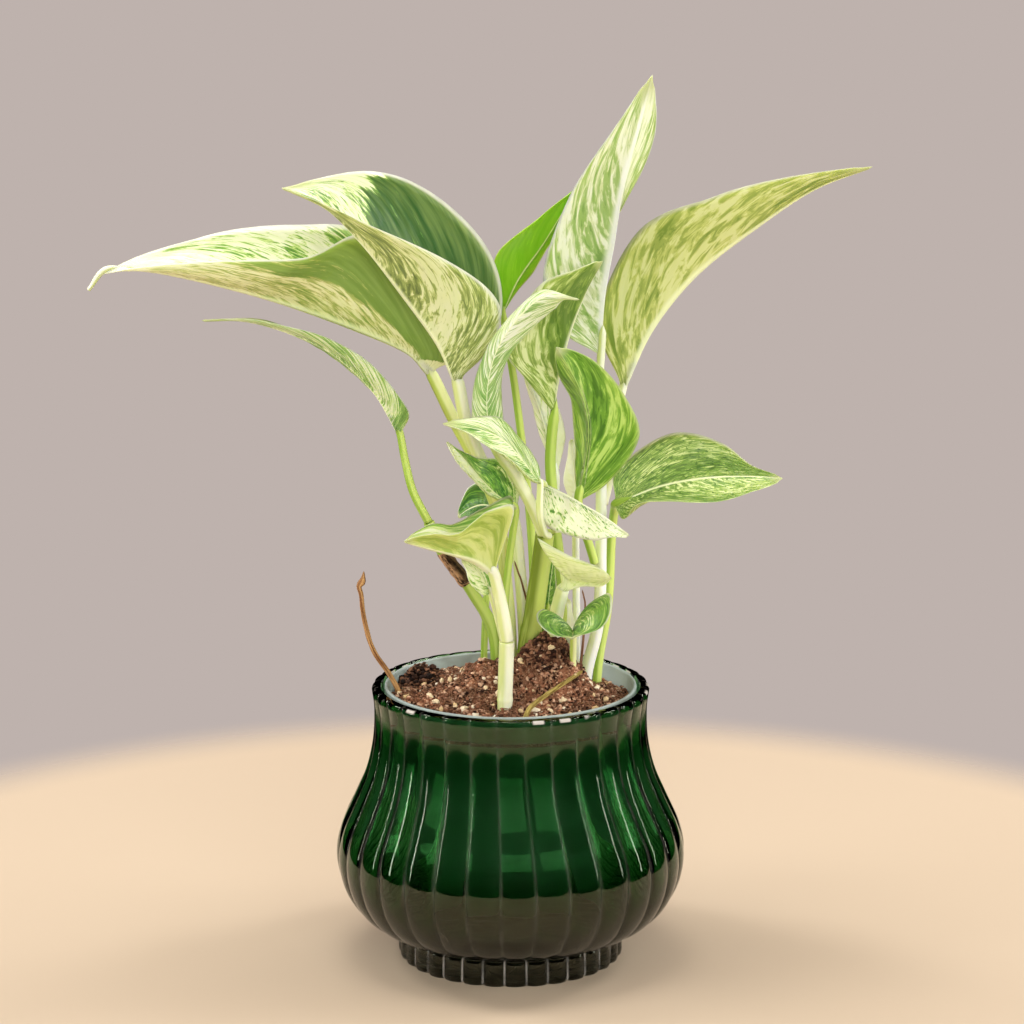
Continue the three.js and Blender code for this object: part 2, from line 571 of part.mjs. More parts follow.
const stemRod = ({ route, girth }) => rod(route, girth, STEM_SIDES);
const clearance = ({ route, girth }, sides) => (
  rod(drawnOut(route), girth.map((radius) => radius + GAP), sides));
const stemClearance = Object.fromEntries(stems.map((stem) => [stem.name, clearance(stem, STEM_SIDES)]));
const soilHoles = [
  ...Object.values(stemClearance),
  ...leaves.filter((leaf) => leaf.carrier === 'soil')
    .map((leaf) => clearance({ route: petioleRoute(leaf), girth: leaf.girth }, PETIOLE_SIDES)),
];

function sheath() {
  const path = curve(stems.find((stem) => stem.name === 'stem_left').route);
  const [from, to] = SHEATH_SPAN;
  const route = [0, 0.25, 0.5, 0.75, 1]
    .map((t) => path.getPointAt(THREE.MathUtils.lerp(from, to, t)).toArray());
  return rod(route, SHEATH_GIRTH, STEM_SIDES).subtract(stemClearance.stem_left);
}

addPiece('glass_pot', fromSolid(glassPot()), '#0f5132', { roughness: 0.05 });
addPiece('nursery_pot', fromSolid(linerPot()), '#cfd4d2');
addPiece('soil', fromSolid(soil(soilHoles)), '#5a3a28', { roughness: 1 });
stems.forEach((stem) => addPiece(stem.name, fromSolid(stemRod(stem)), stem.colour));
addPiece('dried_sheath', fromSolid(sheath()), '#6b4a30', { roughness: 1 });
leaves.forEach((leaf) => addPiece(leaf.name, fromSolid(leafSolid(leaf, stemClearance)), leaf.colour));

export default plant;
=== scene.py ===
"""A marble queen pothos in a nursery pot, standing in a fluted cachepot of emerald glass."""
import math
import random

import bmesh
import bpy
from mathutils import Matrix, Vector, noise


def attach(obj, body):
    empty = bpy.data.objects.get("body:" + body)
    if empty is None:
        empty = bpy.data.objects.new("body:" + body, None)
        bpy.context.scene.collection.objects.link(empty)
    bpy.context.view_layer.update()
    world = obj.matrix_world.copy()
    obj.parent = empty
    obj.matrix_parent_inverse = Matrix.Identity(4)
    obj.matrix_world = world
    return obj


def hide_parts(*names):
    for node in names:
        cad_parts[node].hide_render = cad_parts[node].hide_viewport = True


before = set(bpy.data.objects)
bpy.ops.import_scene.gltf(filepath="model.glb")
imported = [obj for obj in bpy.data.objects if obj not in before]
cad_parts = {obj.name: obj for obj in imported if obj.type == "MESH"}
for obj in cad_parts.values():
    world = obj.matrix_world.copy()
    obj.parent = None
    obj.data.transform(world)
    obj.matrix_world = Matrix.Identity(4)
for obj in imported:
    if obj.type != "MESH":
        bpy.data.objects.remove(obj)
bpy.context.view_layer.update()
scene = bpy.context.scene

# Shapes are worked out in millimetres, as in the part, and scaled to metres at the end.
MM = 0.001
FULL_TURN = 2 * math.pi

# Camera, as the photograph was taken.
CAMERA_PLACE = (0.4, -834, 307)
CAMERA_PITCH = 12.24
CAMERA_LENS = 109.34
CAMERA_SENSOR = 36

# Glass pot, as (radius, height); the flutes are pressed in from the outside, and lean over
# the bulge.
FLUTES = 32
FLUTE_STEPS = 16
FLUTE_DEPTH = 1.15
FLUTE_LEAN = 0.045
FLUTE_BEND = 84
GLASS_OUTSIDE = [
    (31.3, 0), (31.6, 1.3), (31.5, 6), (31.2, 7), (32.4, 8), (38.5, 10.4), (43.8, 15), (47.4, 21.5),
    (48.8, 29.5), (47.4, 37), (43.6, 45.5), (40.2, 53.5), (38.3, 62), (37.9, 70.3), (38.55, 76),
]
GLASS_RIM = [(38.3, 76.9), (37.6, 77.25), (36.7, 77.3), (35.9, 76.8)]
GLASS_INSIDE = [
    (35.4, 71), (35.5, 61), (39.5, 49), (44.6, 38), (45.4, 28), (41.5, 19.4), (35.5, 14.6), (33, 14),
]
GLASS_BASE_RADIUS = 29.2
GLASS_FLOOR_HEIGHT = 14

# Heights between which the glass's foot ends, and its rim starts and ends, in metres.
FOOT_TOP = (0.0064, 0.0078)
RIM_START = (0.0762, 0.0766)
RIM_END = (0.0771, 0.0773)

# Nursery pot.
LINER_BASE_HEIGHT = 14.3
LINER_HEIGHT = 63.2
LINER_LIP_HEIGHT = 7
LINER_LIP_RADIUS = 35
LINER_SHOULDER_RADIUS = 33.2
LINER_BASE_RADIUS = 24.5
LINER_WALL = 1.0
LINER_STEPS = 96

# Potting mix: level near the wall, and heaps as (x, y, height, spread).
SOIL_LEVEL = 72
SOIL_EDGE = (69.8, 74.5)
SOIL_RADIUS = 33.55
SOIL_HEAPS = [
    (8, 0, 12, 5.5), (14.5, -3, 11, 5), (-4, -4, 9, 7), (24, 6, 2.5, 6), (-17, -8, 4, 8),
    (-29, -4, 2.5, 4), (-14, 22, 2.5, 9), (-24, 10, 2, 6), (-9.5, 5, 5, 5.5), (4, -24, 2, 9),
    (26, -12, 3, 8),
]
SOIL_RINGS = 52
SOIL_STEPS = 180

# Crumbs and fibres on the mix. Crumbs are built in small batches, because the operators slow
# down on a big mesh.
BATCH = 70
FIBRES = 700
FIBRE_GIRTH = 0.13

# Where the round floor fades out, in metres from its middle, which lies before the pot.
FLOOR_FADE = (0.23, 0.275)
FLOOR_FORWARD = 0.025
FLOOR_STEPS = 96

# Blades: thickness, rows along a blade, columns across each half, and how the columns
# crowd towards the rib.
BLADE = 0.5
BLADE_ROWS = 84
HALF_COLUMNS = 14
CROWDING = 1.5

# Half the width of a blade at its neck and its point.
BLADE_NECK = 1.3
BLADE_POINT = 0.9

# How far veins sweep forward for each millimetre outwards, and how their feet crowd towards
# the neck.
VEIN_SWEEP = 2.1
FOOT_CROWDING = 1.3

# Waves along an edge, and quilted ridges along a blade.
EDGE_WAVES = 2
RIDGES = 13

# A point that is drawn out to a thread: how narrow the blade gets beside it, and where on
# the rib the thread starts.
STRAND_BLADE = 0.1
STRAND_START = 0.8

# Points that a curve is measured at before it is divided evenly.
ROUTE_STEPS = 400


def srgb(red, green, blue):
    """A colour given as 0 to 255 on a screen, as Blender's linear colour."""
    return tuple((c / 255 / 12.92) if c < 10.3 else ((c / 255 + 0.055) / 1.055) ** 2.4
                 for c in (red, green, blue)) + (1.0,)


def clamp(value, low=0.0, high=1.0):
    return max(low, min(high, value))


def smooth(low, high, value):
    share = clamp((value - low) / (high - low))
    return share * share * (3 - 2 * share)


def lerp(first, last, share):
    return first + (last - first) * share


class Value:
    """A shader socket, so that a sum on it adds its Math nodes."""

    def __init__(self, finish, socket):
        self.finish = finish
        self.socket = socket

    def maths(self, operation, *others):
        inputs = dict(enumerate((self, *others)))
        return self.finish.node("ShaderNodeMath", {"operation": operation}, inputs)

    def __add__(self, other):
        return self.maths("ADD", other)

    def __sub__(self, other):
        return self.maths("SUBTRACT", other)

    def __rsub__(self, other):
        return (self * -1.0) + other

    def __mul__(self, other):
        return self.maths("MULTIPLY", other)

    def __truediv__(self, other):
        return self.maths("DIVIDE", other)

    def __pow__(self, other):
        return self.maths("POWER", other)

    def __abs__(self):
        return self.maths("ABSOLUTE")

    def above(self, limit):
        return self.maths("GREATER_THAN", limit)

    def sine(self):
        return self.maths("SINE")

    def ramp(self, low, high, start=0.0, end=1.0):
        """Start below low and end above high, smoothly in between."""
        return self.finish.node(
            "ShaderNodeMapRange", {"interpolation_type": "SMOOTHSTEP"},
            {"Value": self, "From Min": low, "From Max": high, "To Min": start, "To Max": end})


class Finish:
    """A material under construction, with short ways to add its nodes."""

    def __init__(self, name):
        self.material = bpy.data.materials.new(name)
        self.material.use_nodes = True
        self.tree = self.material.node_tree
        self.tree.nodes.clear()
        self.output = self.tree.nodes.new("ShaderNodeOutputMaterial")

    def node(self, kind, settings=None, inputs=None, output=0):
        made = self.tree.nodes.new(kind)
        for name, value in (settings or {}).items():
            setattr(made, name, value)
        for name, value in (inputs or {}).items():
            self.plug(made.inputs[name], value)
        return Value(self, made.outputs[output])

    def plug(self, socket, value):
        if isinstance(value, Value):
            self.tree.links.new(value.socket, socket)
        else:
            socket.default_value = value

    def mix(self, factor, first, second):
        """first where factor is 0, second where it is 1."""
        return self.node(
            "ShaderNodeMix", {"data_type": "RGBA"}, {0: factor, 6: first, 7: second}, output=2)

    def place(self):
        """Object coordinates, in metres."""
        return self.node("ShaderNodeTexCoord", output=3)

    def surface(self):
        """The piece's own UV map, as two values."""
        parts = self.node("ShaderNodeSeparateXYZ", inputs={0: self.node("ShaderNodeUVMap")})
        return parts, Value(self, parts.socket.node.outputs[1])

    def vector(self, x, y, z):
        return self.node("ShaderNodeCombineXYZ", inputs={0: x, 1: y, 2: z})

    def noise(self, vector, scale, detail=2.0, roughness=0.5, distortion=0.0):
        return self.node("ShaderNodeTexNoise", inputs={
            "Vector": vector, "Scale": scale, "Detail": detail, "Roughness": roughness,
            "Distortion": distortion})

    def bump(self, height, strength, distance):
        return self.node("ShaderNodeBump", inputs={
            "Height": height, "Strength": strength, "Distance": distance})

    def shader(self, **inputs):
        """A Principled BSDF, its sockets named with underscores."""
        named = {name.replace("_", " "): value for name, value in inputs.items()}
        return self.node("ShaderNodeBsdfPrincipled", inputs=named)

    def done(self, shader, volume=None):
        self.plug(self.output.inputs["Surface"], shader)
        if volume is not None:
            self.plug(self.output.inputs["Volume"], volume)
        return self.material


def spline_point(points, u):
    """A point of the uniform Catmull-Rom curve through points, u from 0 to 1."""
    last = len(points) - 1
    step = min(int(u * last), last - 1)
    w = u * last - step
    before = points[step - 1] if step > 0 else 2 * points[0] - points[1]
    after = points[step + 2] if step + 2 <= last else 2 * points[last] - points[last - 1]
    start, end = points[step], points[step + 1]
    leave, arrive = (end - before) / 2, (after - start) / 2
    return (start + leave * w + (3 * (end - start) - 2 * leave - arrive) * w ** 2
            + (2 * (start - end) + leave + arrive) * w ** 3)


def vectors(points):
    return [Vector(point) for point in points]


def even_route(points, steps):
    """steps + 1 points evenly spaced by length on the curve through points."""
    fine = [spline_point(points, i / ROUTE_STEPS) for i in range(ROUTE_STEPS + 1)]
    lengths = [0.0]
    for first, second in zip(fine, fine[1:]):
        lengths.append(lengths[-1] + (second - first).length)
    route, at = [], 0
    for step in range(steps + 1):
        goal = lengths[-1] * step / steps
        while at < ROUTE_STEPS - 1 and lengths[at + 1] < goal:
            at += 1
        span = lengths[at + 1] - lengths[at]
        route.append(fine[at].lerp(fine[at + 1], (goal - lengths[at]) / span if span else 0))
    return route


def new_bmesh():
    mesh = bmesh.new()
    mesh.loops.layers.uv.new("UVMap")
    return mesh


def rolled_grid(mesh, around, along, place, material=0, cap=False):
    """A grid rolled into a tube and welded: place(i, j) is the point of step i of around
    steps round the tube and step j of along steps along it. cap closes open ends."""
    made = bmesh.ops.create_grid(mesh, x_segments=around, y_segments=along, size=0.5, calc_uvs=True)
    verts = made["verts"]
    faces = {face for vert in verts for face in vert.link_faces}
    for face in faces:
        face.material_index = material
        face.smooth = True
    for vert in verts:
        i = round((vert.co.x + 0.5) * around)
        j = round((vert.co.y + 0.5) * along)
        vert.co = place(i % around, j)
    bmesh.ops.remove_doubles(mesh, verts=verts, dist=0.0005)
    if cap:
        kept = [face for face in faces if face.is_valid]
        edges = {edge for face in kept for edge in face.edges if edge.is_boundary}
        for face in bmesh.ops.holes_fill(mesh, edges=list(edges))["faces"]:
            face.material_index = material


def gather(whole, batch):
    """Adds the batch to the whole mesh, and frees it."""
    data = bpy.data.meshes.new("batch")
    batch.to_mesh(data)
    batch.free()
    whole.from_mesh(data)
    bpy.data.meshes.remove(data)


def finish_piece(name, mesh, materials, nodes=()):
    """Makes the mesh a piece in metres that rides on the root, and stands for nodes."""
    bmesh.ops.recalc_face_normals(mesh, faces=mesh.faces)
    bmesh.ops.scale(mesh, vec=(MM, MM, MM), verts=mesh.verts)
    data = bpy.data.meshes.new(name)
    mesh.to_mesh(data)
    mesh.free()
    piece = bpy.data.objects.new(name, data)
    scene.collection.objects.link(piece)
    for material in materials:
        data.materials.append(material)
    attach(piece, "root")
    if nodes:
        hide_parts(*nodes)


def rod(mesh, points, girth, sides=14, steps=40, material=0, round_tip=True, swell=None):
    """A rod along the curve through points. girth(s) is its radius at share s of its length,
    and swell(turn, s), where given, multiplies it."""
    route = even_route(vectors(points), steps)
    tangents = []
    for j in range(steps + 1):
        tangents.append((route[min(j + 1, steps)] - route[max(j - 1, 0)]).normalized())
    side = tangents[0].cross(Vector((0, -1, 0))).normalized()
    sides_at = []
    for j in range(steps + 1):
        side = (side - tangents[j] * side.dot(tangents[j])).normalized()
        sides_at.append((side.copy(), tangents[j].cross(side)))

    def place(i, j):
        share = j / steps
        if round_tip and j == steps:
            return route[j]
        radius = girth(share)
        turn = FULL_TURN * i / sides
        if swell:
            radius *= swell(turn, share)
        first, second = sides_at[j]
        return route[j] + first * math.cos(turn) * radius + second * math.sin(turn) * radius

    rolled_grid(mesh, sides, steps, place, material, cap=True)


def lit_side(turn):
    """0 on one side of a rod and 1 on the other, from turn, its U."""
    return (turn * FULL_TURN + math.pi / 2).sine() * 0.5 + 0.5


def glass_finish(fluted):
    """Thick emerald glass: the green is in the glass itself, so thick parts are darker. Each
    groove carries a painted highlight line, clearest round the foot, and the lobe ends on the
    rim carry painted highlight dashes here and there. fluted is how far V runs on the fluted outside."""
    f = Finish("emerald_glass")
    turn, along = f.surface()
    height = f.node("ShaderNodeSeparateXYZ", inputs={0: f.place()}, output=2)
    lobes = (turn * (FULL_TURN * FLUTES) + math.pi / 2).sine()
    uneven = f.noise(f.place(), 160.0, detail=2.0).ramp(0.35, 0.65, 0.35, 1.0)
    outside = along.ramp(fluted - 0.02, fluted, 1.0, 0.0)
    # Painted highlight: pale lines along the flute grooves, strongest on the foot and faint above it.
    grooves = lobes.ramp(0.55, 0.95) * uneven * outside * height.ramp(*FOOT_TOP, 0.5, 0.045)
    # Painted highlight on the rim: pale dashes at the lobe ends, broken up by this noise.
    dash_breaks = f.noise(f.place(), 75.0, detail=2.0).ramp(0.48, 0.54)
    rim = height.ramp(*RIM_START, 0.0, 0.75) * height.ramp(*RIM_END, 1.0, 0.0)
    ends = lobes.ramp(-0.45, -0.8) * dash_breaks * rim
    # pale is the painted highlight colour, mixed over the glass along the grooves and at the rim's lobe
    # ends.
    pale = f.shader(Base_Color=srgb(222, 212, 202), Roughness=0.3)
    ripple = f.noise(f.place(), 90.0, detail=1.0)
    body = f.shader(
        Base_Color=(0.86, 0.95, 0.90, 1), Roughness=0.02, IOR=1.56, Transmission_Weight=1.0,
        Specular_Tint=(0.95, 1.0, 0.75, 1), Normal=f.bump(ripple, 0.15, 0.0012))
    green = f.node(
        "ShaderNodeVolumeAbsorption", inputs={"Color": (0.34, 0.64, 0.4, 1), "Density": 1100.0})
    return f.done(f.node("ShaderNodeMixShader", inputs={0: grooves + ends, 1: body, 2: pale}), green)


def plastic_finish():
    """Matt pale grey plastic, with some grime."""
    f = Finish("grey_plastic")
    grime = f.noise(f.place(), 60.0, detail=4.0).ramp(0.45, 0.7)
    tone = f.mix(grime * 0.6, srgb(162, 172, 167), srgb(108, 108, 96))
    grain = f.noise(f.place(), 2500.0, detail=2.0)
    return f.done(f.shader(
        Base_Color=tone, Roughness=grime * 0.15 + 0.4, Specular_IOR_Level=0.15,
        Normal=f.bump(grain, 0.15, 0.0002)))


def soil_finish():
    """Brown potting mix between the crumbs, darker where it is damp."""
    f = Finish("potting_mix")
    place = f.place()
    clumps = f.noise(place, 260.0, detail=5.0, roughness=0.65)
    fine = f.noise(place, 1400.0, detail=3.0, roughness=0.6)
    brown = f.mix(clumps.ramp(0.42, 0.56), srgb(48, 26, 18), srgb(160, 106, 78))
    brown = f.mix(fine.ramp(0.5, 0.66), brown, srgb(214, 164, 128))
    damp = f.noise(place, 75.0, detail=2.0)
    brown = f.mix(damp.ramp(0.62, 0.45) * 0.55, brown, srgb(40, 24, 16))
    return f.done(f.shader(
        Base_Color=brown, Roughness=0.95, Specular_IOR_Level=0.2,
        Normal=f.bump(fine + clumps, 0.8, 0.0012)))


def crumb_finish(name, dark, middle, light):
    """Small lumps, each with its own shade from its tone attribute."""
    f = Finish(name)
    tone = f.node("ShaderNodeAttribute", {"attribute_name": "tone"}, output=2)
    grain = f.noise(f.place(), 1800.0, detail=3.0)
    colour = f.mix(tone.ramp(0.0, 0.55), dark, middle)
    colour = f.mix(tone.ramp(0.5, 0.95), colour, light)
    colour = f.mix(grain.ramp(0.35, 0.7) * 0.35, colour, dark)
    damp = f.noise(f.place(), 75.0, detail=2.0)
    colour = f.mix(damp.ramp(0.6, 0.45) * 0.45, colour, dark)
    return f.done(f.shader(
        Base_Color=colour, Roughness=0.9, Specular_IOR_Level=0.25, Normal=f.bump(grain, 0.5, 0.0004)))


def stalk_finish(name, shade, light):
    """A stalk: shade on its left and light on its right, with fine streaks along it."""
    f = Finish(name)
    turn, along = f.surface()
    fibres = f.noise(f.vector(turn * 14.0, along * 3.0, 0.0), 1.0, detail=3.0)
    colour = f.mix(lit_side(turn).ramp(0.3, 0.62), shade, light)
    colour = f.mix(fibres.ramp(0.5, 0.7) * 0.4, colour, light)
    return f.done(f.shader(
        Base_Color=colour, Roughness=0.38, Subsurface_Weight=0.25, Subsurface_Radius=(1.0, 0.9, 0.4),
        Subsurface_Scale=0.0016, Normal=f.bump(fibres, 0.2, 0.0004)))


def dry_finish(name, dark, light, around=9.0, lengthways=5.0, shaded=0.0):
    """Something dry and fibrous, with around and lengthways fibres across and along it, and
    darker on its right side as far as shaded says."""
    f = Finish(name)
    turn, along = f.surface()
    fibres = f.noise(f.vector(turn * around, along * lengthways, 0.0), 1.0, detail=5.0, roughness=0.7)
    colour = f.mix(fibres.ramp(0.38, 0.62), dark, light)
    if shaded:
        colour = f.mix(lit_side(turn).ramp(0.4, 0.7) * shaded, colour, dark)
    return f.done(f.shader(
        Base_Color=colour, Roughness=0.75, Specular_IOR_Level=0.3, Normal=f.bump(fibres, 0.9, 0.0006)))


# Leaf colours, from the pale parts of a blade to its darkest green, from above and below.
CREAM = srgb(240, 242, 206)
GREY_GREEN = srgb(196, 216, 134)
LEAF_GREEN = srgb(108, 160, 58)
DEEP_GREEN = srgb(44, 104, 38)
UPPER = (CREAM, GREY_GREEN, LEAF_GREEN, DEEP_GREEN)
UNDER = (srgb(218, 223, 178), srgb(186, 200, 128), srgb(146, 168, 84), srgb(104, 134, 54))
RIB_PALE = srgb(244, 248, 200)
STRAW = srgb(186, 190, 138)

# The share of green at which a blade turns from each of its colours to the next.
GREYED = (-0.05, 0.03)
GREENED = (0.03, 0.09)
DEEPENED = (0.13, 0.22)

# Where along a blade its flecks fade out, and where its point turns to straw.
FLECKS_FADE = (0.88, 0.98)
POINT_TURNS = (0.9, 0.98)


def leaf_finish(
        name, seed, size, left=0.0, right=0.0, tones=UPPER, under=UNDER, fleck=(1.6, 2.6), specks=0.0,
        areas=0.7, patches=(), rib=RIB_PALE, rib_width=1.0, contrast=0.9, gloss=0.36):
    """A marbled blade. size is what blade_size says. left and right raise or lower the green
    share of each half, tones and under are its colours above and below, fleck is the width of
    a fleck and how far it reaches outwards in mm, contrast how strongly flecks differ, specks
    the strength of tiny dots, areas how strongly broad areas differ, and gloss the roughness
    above. patches are green (or, when below 0, pale) places as (along, across, half length,
    half width, amount, lean forward)."""
    f = Finish(name)
    length, widths, slants = size
    turn, along = f.surface()
    across = 1 - abs(turn * 4.0 - 2.0)
    below = turn.above(0.5)
    share = abs(across)
    reach = share ** CROWDING
    half = across.ramp(-0.04, 0.04)
    vein = along - reach * (reach * 0.4 + 0.6) * (half * (slants[1] - slants[0]) + slants[0])
    over = reach * (half * (widths[1] + widths[0]) - widths[0])
    wander = f.noise(f.vector(vein * (length / 5), over * 0.08, seed + 0.5), 1.0, detail=4.0)
    flecks = f.noise(
        f.vector(vein * (length / fleck[0]), over * (1 / fleck[1]), seed), 1.0, detail=4.0,
        roughness=0.6, distortion=0.6)
    broad = f.noise(f.vector(vein * (length / 16), over * 0.025, seed + 7.3), 1.0, detail=2.0)
    fade = along.ramp(*FLECKS_FADE, 1.0, 0.0)
    level = ((flecks - 0.5) * contrast + (broad - 0.5) * areas) * fade
    level = level + half * (right - left) + left
    if specks:
        dots = f.noise(f.vector(along * (length / 0.9), over * 1.1, seed + 3.1), 1.0, detail=2.0)
        level = level + dots.ramp(0.56, 0.66) * specks
    for at, off, half_length, half_width, amount, lean in patches:
        along_off, across_off = (along - reach * lean - at) / half_length, (across - off) / half_width
        distance = along_off * along_off + across_off * across_off
        level = level + (distance + (wander - 0.5) * 0.9).ramp(0.8, 1.05, amount, 0.0)
    turns = [level.ramp(*limits) for limits in (GREYED, GREENED, DEEPENED)]
    faces = []
    for colours in (tones, under):
        face = colours[0]
        for factor, deeper in zip(turns, colours[1:]):
            face = f.mix(factor, face, deeper)
        faces.append(face)
    colour = f.mix(below, *faces)
    mottle = f.noise(f.vector(vein * (length / 3), over * 0.2, seed + 11.0), 1.0, detail=4.0)
    colour = f.mix(mottle.ramp(0.3, 0.75) * 0.22, colour, tones[1])
    colour = f.mix(share.ramp(0.05 * rib_width, 0.13 * rib_width, 0.9, 0.0), colour, rib)
    colour = f.mix(share.ramp(0.965, 0.99, 0.0, 0.7), colour, tones[0])
    colour = f.mix(along.ramp(*POINT_TURNS, 0.0, 0.8), colour, STRAW)
    veins = ((vein * (length * 1.3)).sine() * 0.5 + 0.5) * share.ramp(0.1, 0.4)
    relief = (veins * 0.6 + mottle * 0.5) * fade
    return f.done(f.shader(
        Base_Color=colour, Roughness=below * 0.16 + gloss, Subsurface_Weight=0.35,
        Subsurface_Radius=(1.0, 1.0, 0.45), Subsurface_Scale=0.002,
        Normal=f.bump(relief, 0.18, 0.0004)))


def vein_foot(t):
    """Where on the rib the veins leave that reach the edge at t: they sweep forward."""
    return t ** FOOT_CROWDING


def blade_edge(leaf, rib, side):
    """The edge of the left half, where side is below 0, or of the right half."""
    offsets = vectors(leaf["left"] if side < 0 else leaf["right"])
    spans = len(offsets) + 1
    places = [
        spline_point(rib, vein_foot((i + 1) / spans)) + offset for i, offset in enumerate(offsets)]
    neck = rib[0] + offsets[0].normalized() * BLADE_NECK
    point = rib[-1] + offsets[-1].normalized() * BLADE_POINT
    return [neck, *places, point]


def rib_tangent(rib, u):
    """The direction of the rib at u."""
    step = 0.0005
    return (spline_point(rib, min(u + step, 1)) - spline_point(rib, max(u - step, 0))).normalized()


def blade_sheet(leaf):
    """The middle of the blade as rows of points, from the left edge to the right edge."""
    rib = vectors(leaf["rib"])
    edges = {side: blade_edge(leaf, rib, side) for side in (-1, 1)}
    cup, wave, ripple = leaf.get("cup", 0.1), leaf.get("wave", 0.5), leaf.get("ripple", 0.25)
    seed, tip = leaf["seed"], leaf.get("tip", 0.05)
    rows = []
    for row in range(BLADE_ROWS + 1):
        t = row / BLADE_ROWS
        foot = spline_point(rib, vein_foot(t))
        tangent = rib_tangent(rib, vein_foot(t))
        middle = math.sin(math.pi * t)
        taper = min(1.0, max((1 - t) / tip, 0.0)) ** 0.6 * min(1.0, t / 0.015 + 0.4) ** 0.6
        drawn_out = smooth(*leaf["strand"], t) if "strand" in leaf else 0
        taper *= lerp(1, STRAND_BLADE, drawn_out)
        points = []
        for column in range(-HALF_COLUMNS, HALF_COLUMNS + 1):
            side = -1 if column < 0 else 1
            across = (abs(column) / HALF_COLUMNS) ** CROWDING
            reach = spline_point(edges[side], t) - foot
            size = reach.length
            normal = (tangent.cross(reach) * side).normalized()
            swing = math.sin(FULL_TURN * EDGE_WAVES * t + 1.2 * side)
            rise = cup * size * 4 * across * (1 - across) + wave * swing * across ** 2 * middle
            quilt = math.sin(FULL_TURN * RIDGES * (t - 0.06 * across ** 2) + side)
            quilt = quilt * across * (1 - across)
            tremor = noise.noise(Vector((t * 11, side * 3.7 + across, seed)))
            rise += (0.3 * quilt + ripple * tremor * across ** 3) * middle
            reach -= tangent * (reach.dot(tangent) * drawn_out)
            points.append(foot + reach * (across * taper) + normal * (rise * taper))
        rows.append(points)
    return rows


def blade(mesh, leaf):
    """A closed thin blade: its upper face takes the first half of U and its under side the
    second. The rib is a groove above and a keel below that thins to the point."""
    rows = blade_sheet(leaf)
    columns = 2 * HALF_COLUMNS
    keel_girth = leaf["girth"][1] * 0.9

    def normal_at(i, j):
        along = rows[min(j + 1, BLADE_ROWS)][i] - rows[max(j - 1, 0)][i]
        across = rows[j][min(i + 1, columns)] - rows[j][max(i - 1, 0)]
        return across.cross(along).normalized()

    def place(step, j):
        upper = step <= columns
        i = step if upper else 2 * columns - step
        if j == BLADE_ROWS:
            return rows[j][HALF_COLUMNS]
        away = (rows[j][i] - rows[j][HALF_COLUMNS]).length
        margin = abs(i - HALF_COLUMNS) / HALF_COLUMNS
        thickness = BLADE / 2 * math.sqrt(max(0.0, 1 - margin ** 8))
        keel = keel_girth * (1 - j / BLADE_ROWS) ** 0.7 + 0.12
        ridge = math.exp(-(away / (keel * 0.75)) ** 2)
        if upper:
            offset = thickness - 0.25 * keel * ridge
        else:
            offset = -thickness - 0.75 * keel * ridge
        return rows[j][i] + normal_at(i, j) * offset

    rolled_grid(mesh, 2 * columns, BLADE_ROWS, place, cap=True)


def blade_size(leaf):
    """Length of the blade, and for each half its width and how far its veins sweep forward,
    as a share of the length."""
    rib = vectors(leaf["rib"])
    length = sum((second - first).length for first, second in zip(rib, rib[1:]))
    heading = (spline_point(rib, 0.8) - spline_point(rib, 0.2)).normalized()
    widths, slants = [], []
    for half in ("left", "right"):
        offsets = vectors(leaf[half])
        mean = sum(offsets, Vector()) / len(offsets)
        forward = mean.dot(heading)
        width = (mean - heading * forward).length
        widths.append(width)
        slants.append((VEIN_SWEEP * width - forward) / length)
    return length, widths, slants


def petiole(mesh, leaf):
    """The leaf's own stalk, which runs a little way up under the rib and thins out there."""
    first, last = leaf["girth"]
    route = [*leaf["stalk"], leaf["rib"][0], tuple(spline_point(vectors(leaf["rib"]), 0.10))]

    def girth(share):
        return lerp(first, last, share) * (1 - 0.75 * smooth(0.93, 1.0, share))

    rod(mesh, route, girth, steps=48, material=1)


def strand(mesh, leaf):
    """The blade's point, drawn out to a round thread."""
    rib = vectors(leaf["rib"])
    route = [tuple(spline_point(rib, lerp(STRAND_START, 1, i / 6))) for i in range(7)]

    def girth(share):
        return 0.2 + 0.6 * smooth(0, 0.4, share) - 0.25 * smooth(0.5, 1, share)

    rod(mesh, route, girth, material=2)


# Finishes of stalks and vines, by their colour.
STALKS = {
    "white": stalk_finish("stalk_white", srgb(224, 230, 178), srgb(252, 252, 238)),
    "cream": stalk_finish("stalk_cream", srgb(212, 220, 142), srgb(248, 248, 214)),
    "yellow": stalk_finish("stalk_yellow_green", srgb(196, 212, 100), srgb(246, 250, 180)),
    "green": stalk_finish("stalk_green", srgb(146, 178, 62), srgb(212, 230, 126)),
    "olive": stalk_finish("stalk_olive", srgb(110, 128, 30), srgb(196, 210, 110)),
}

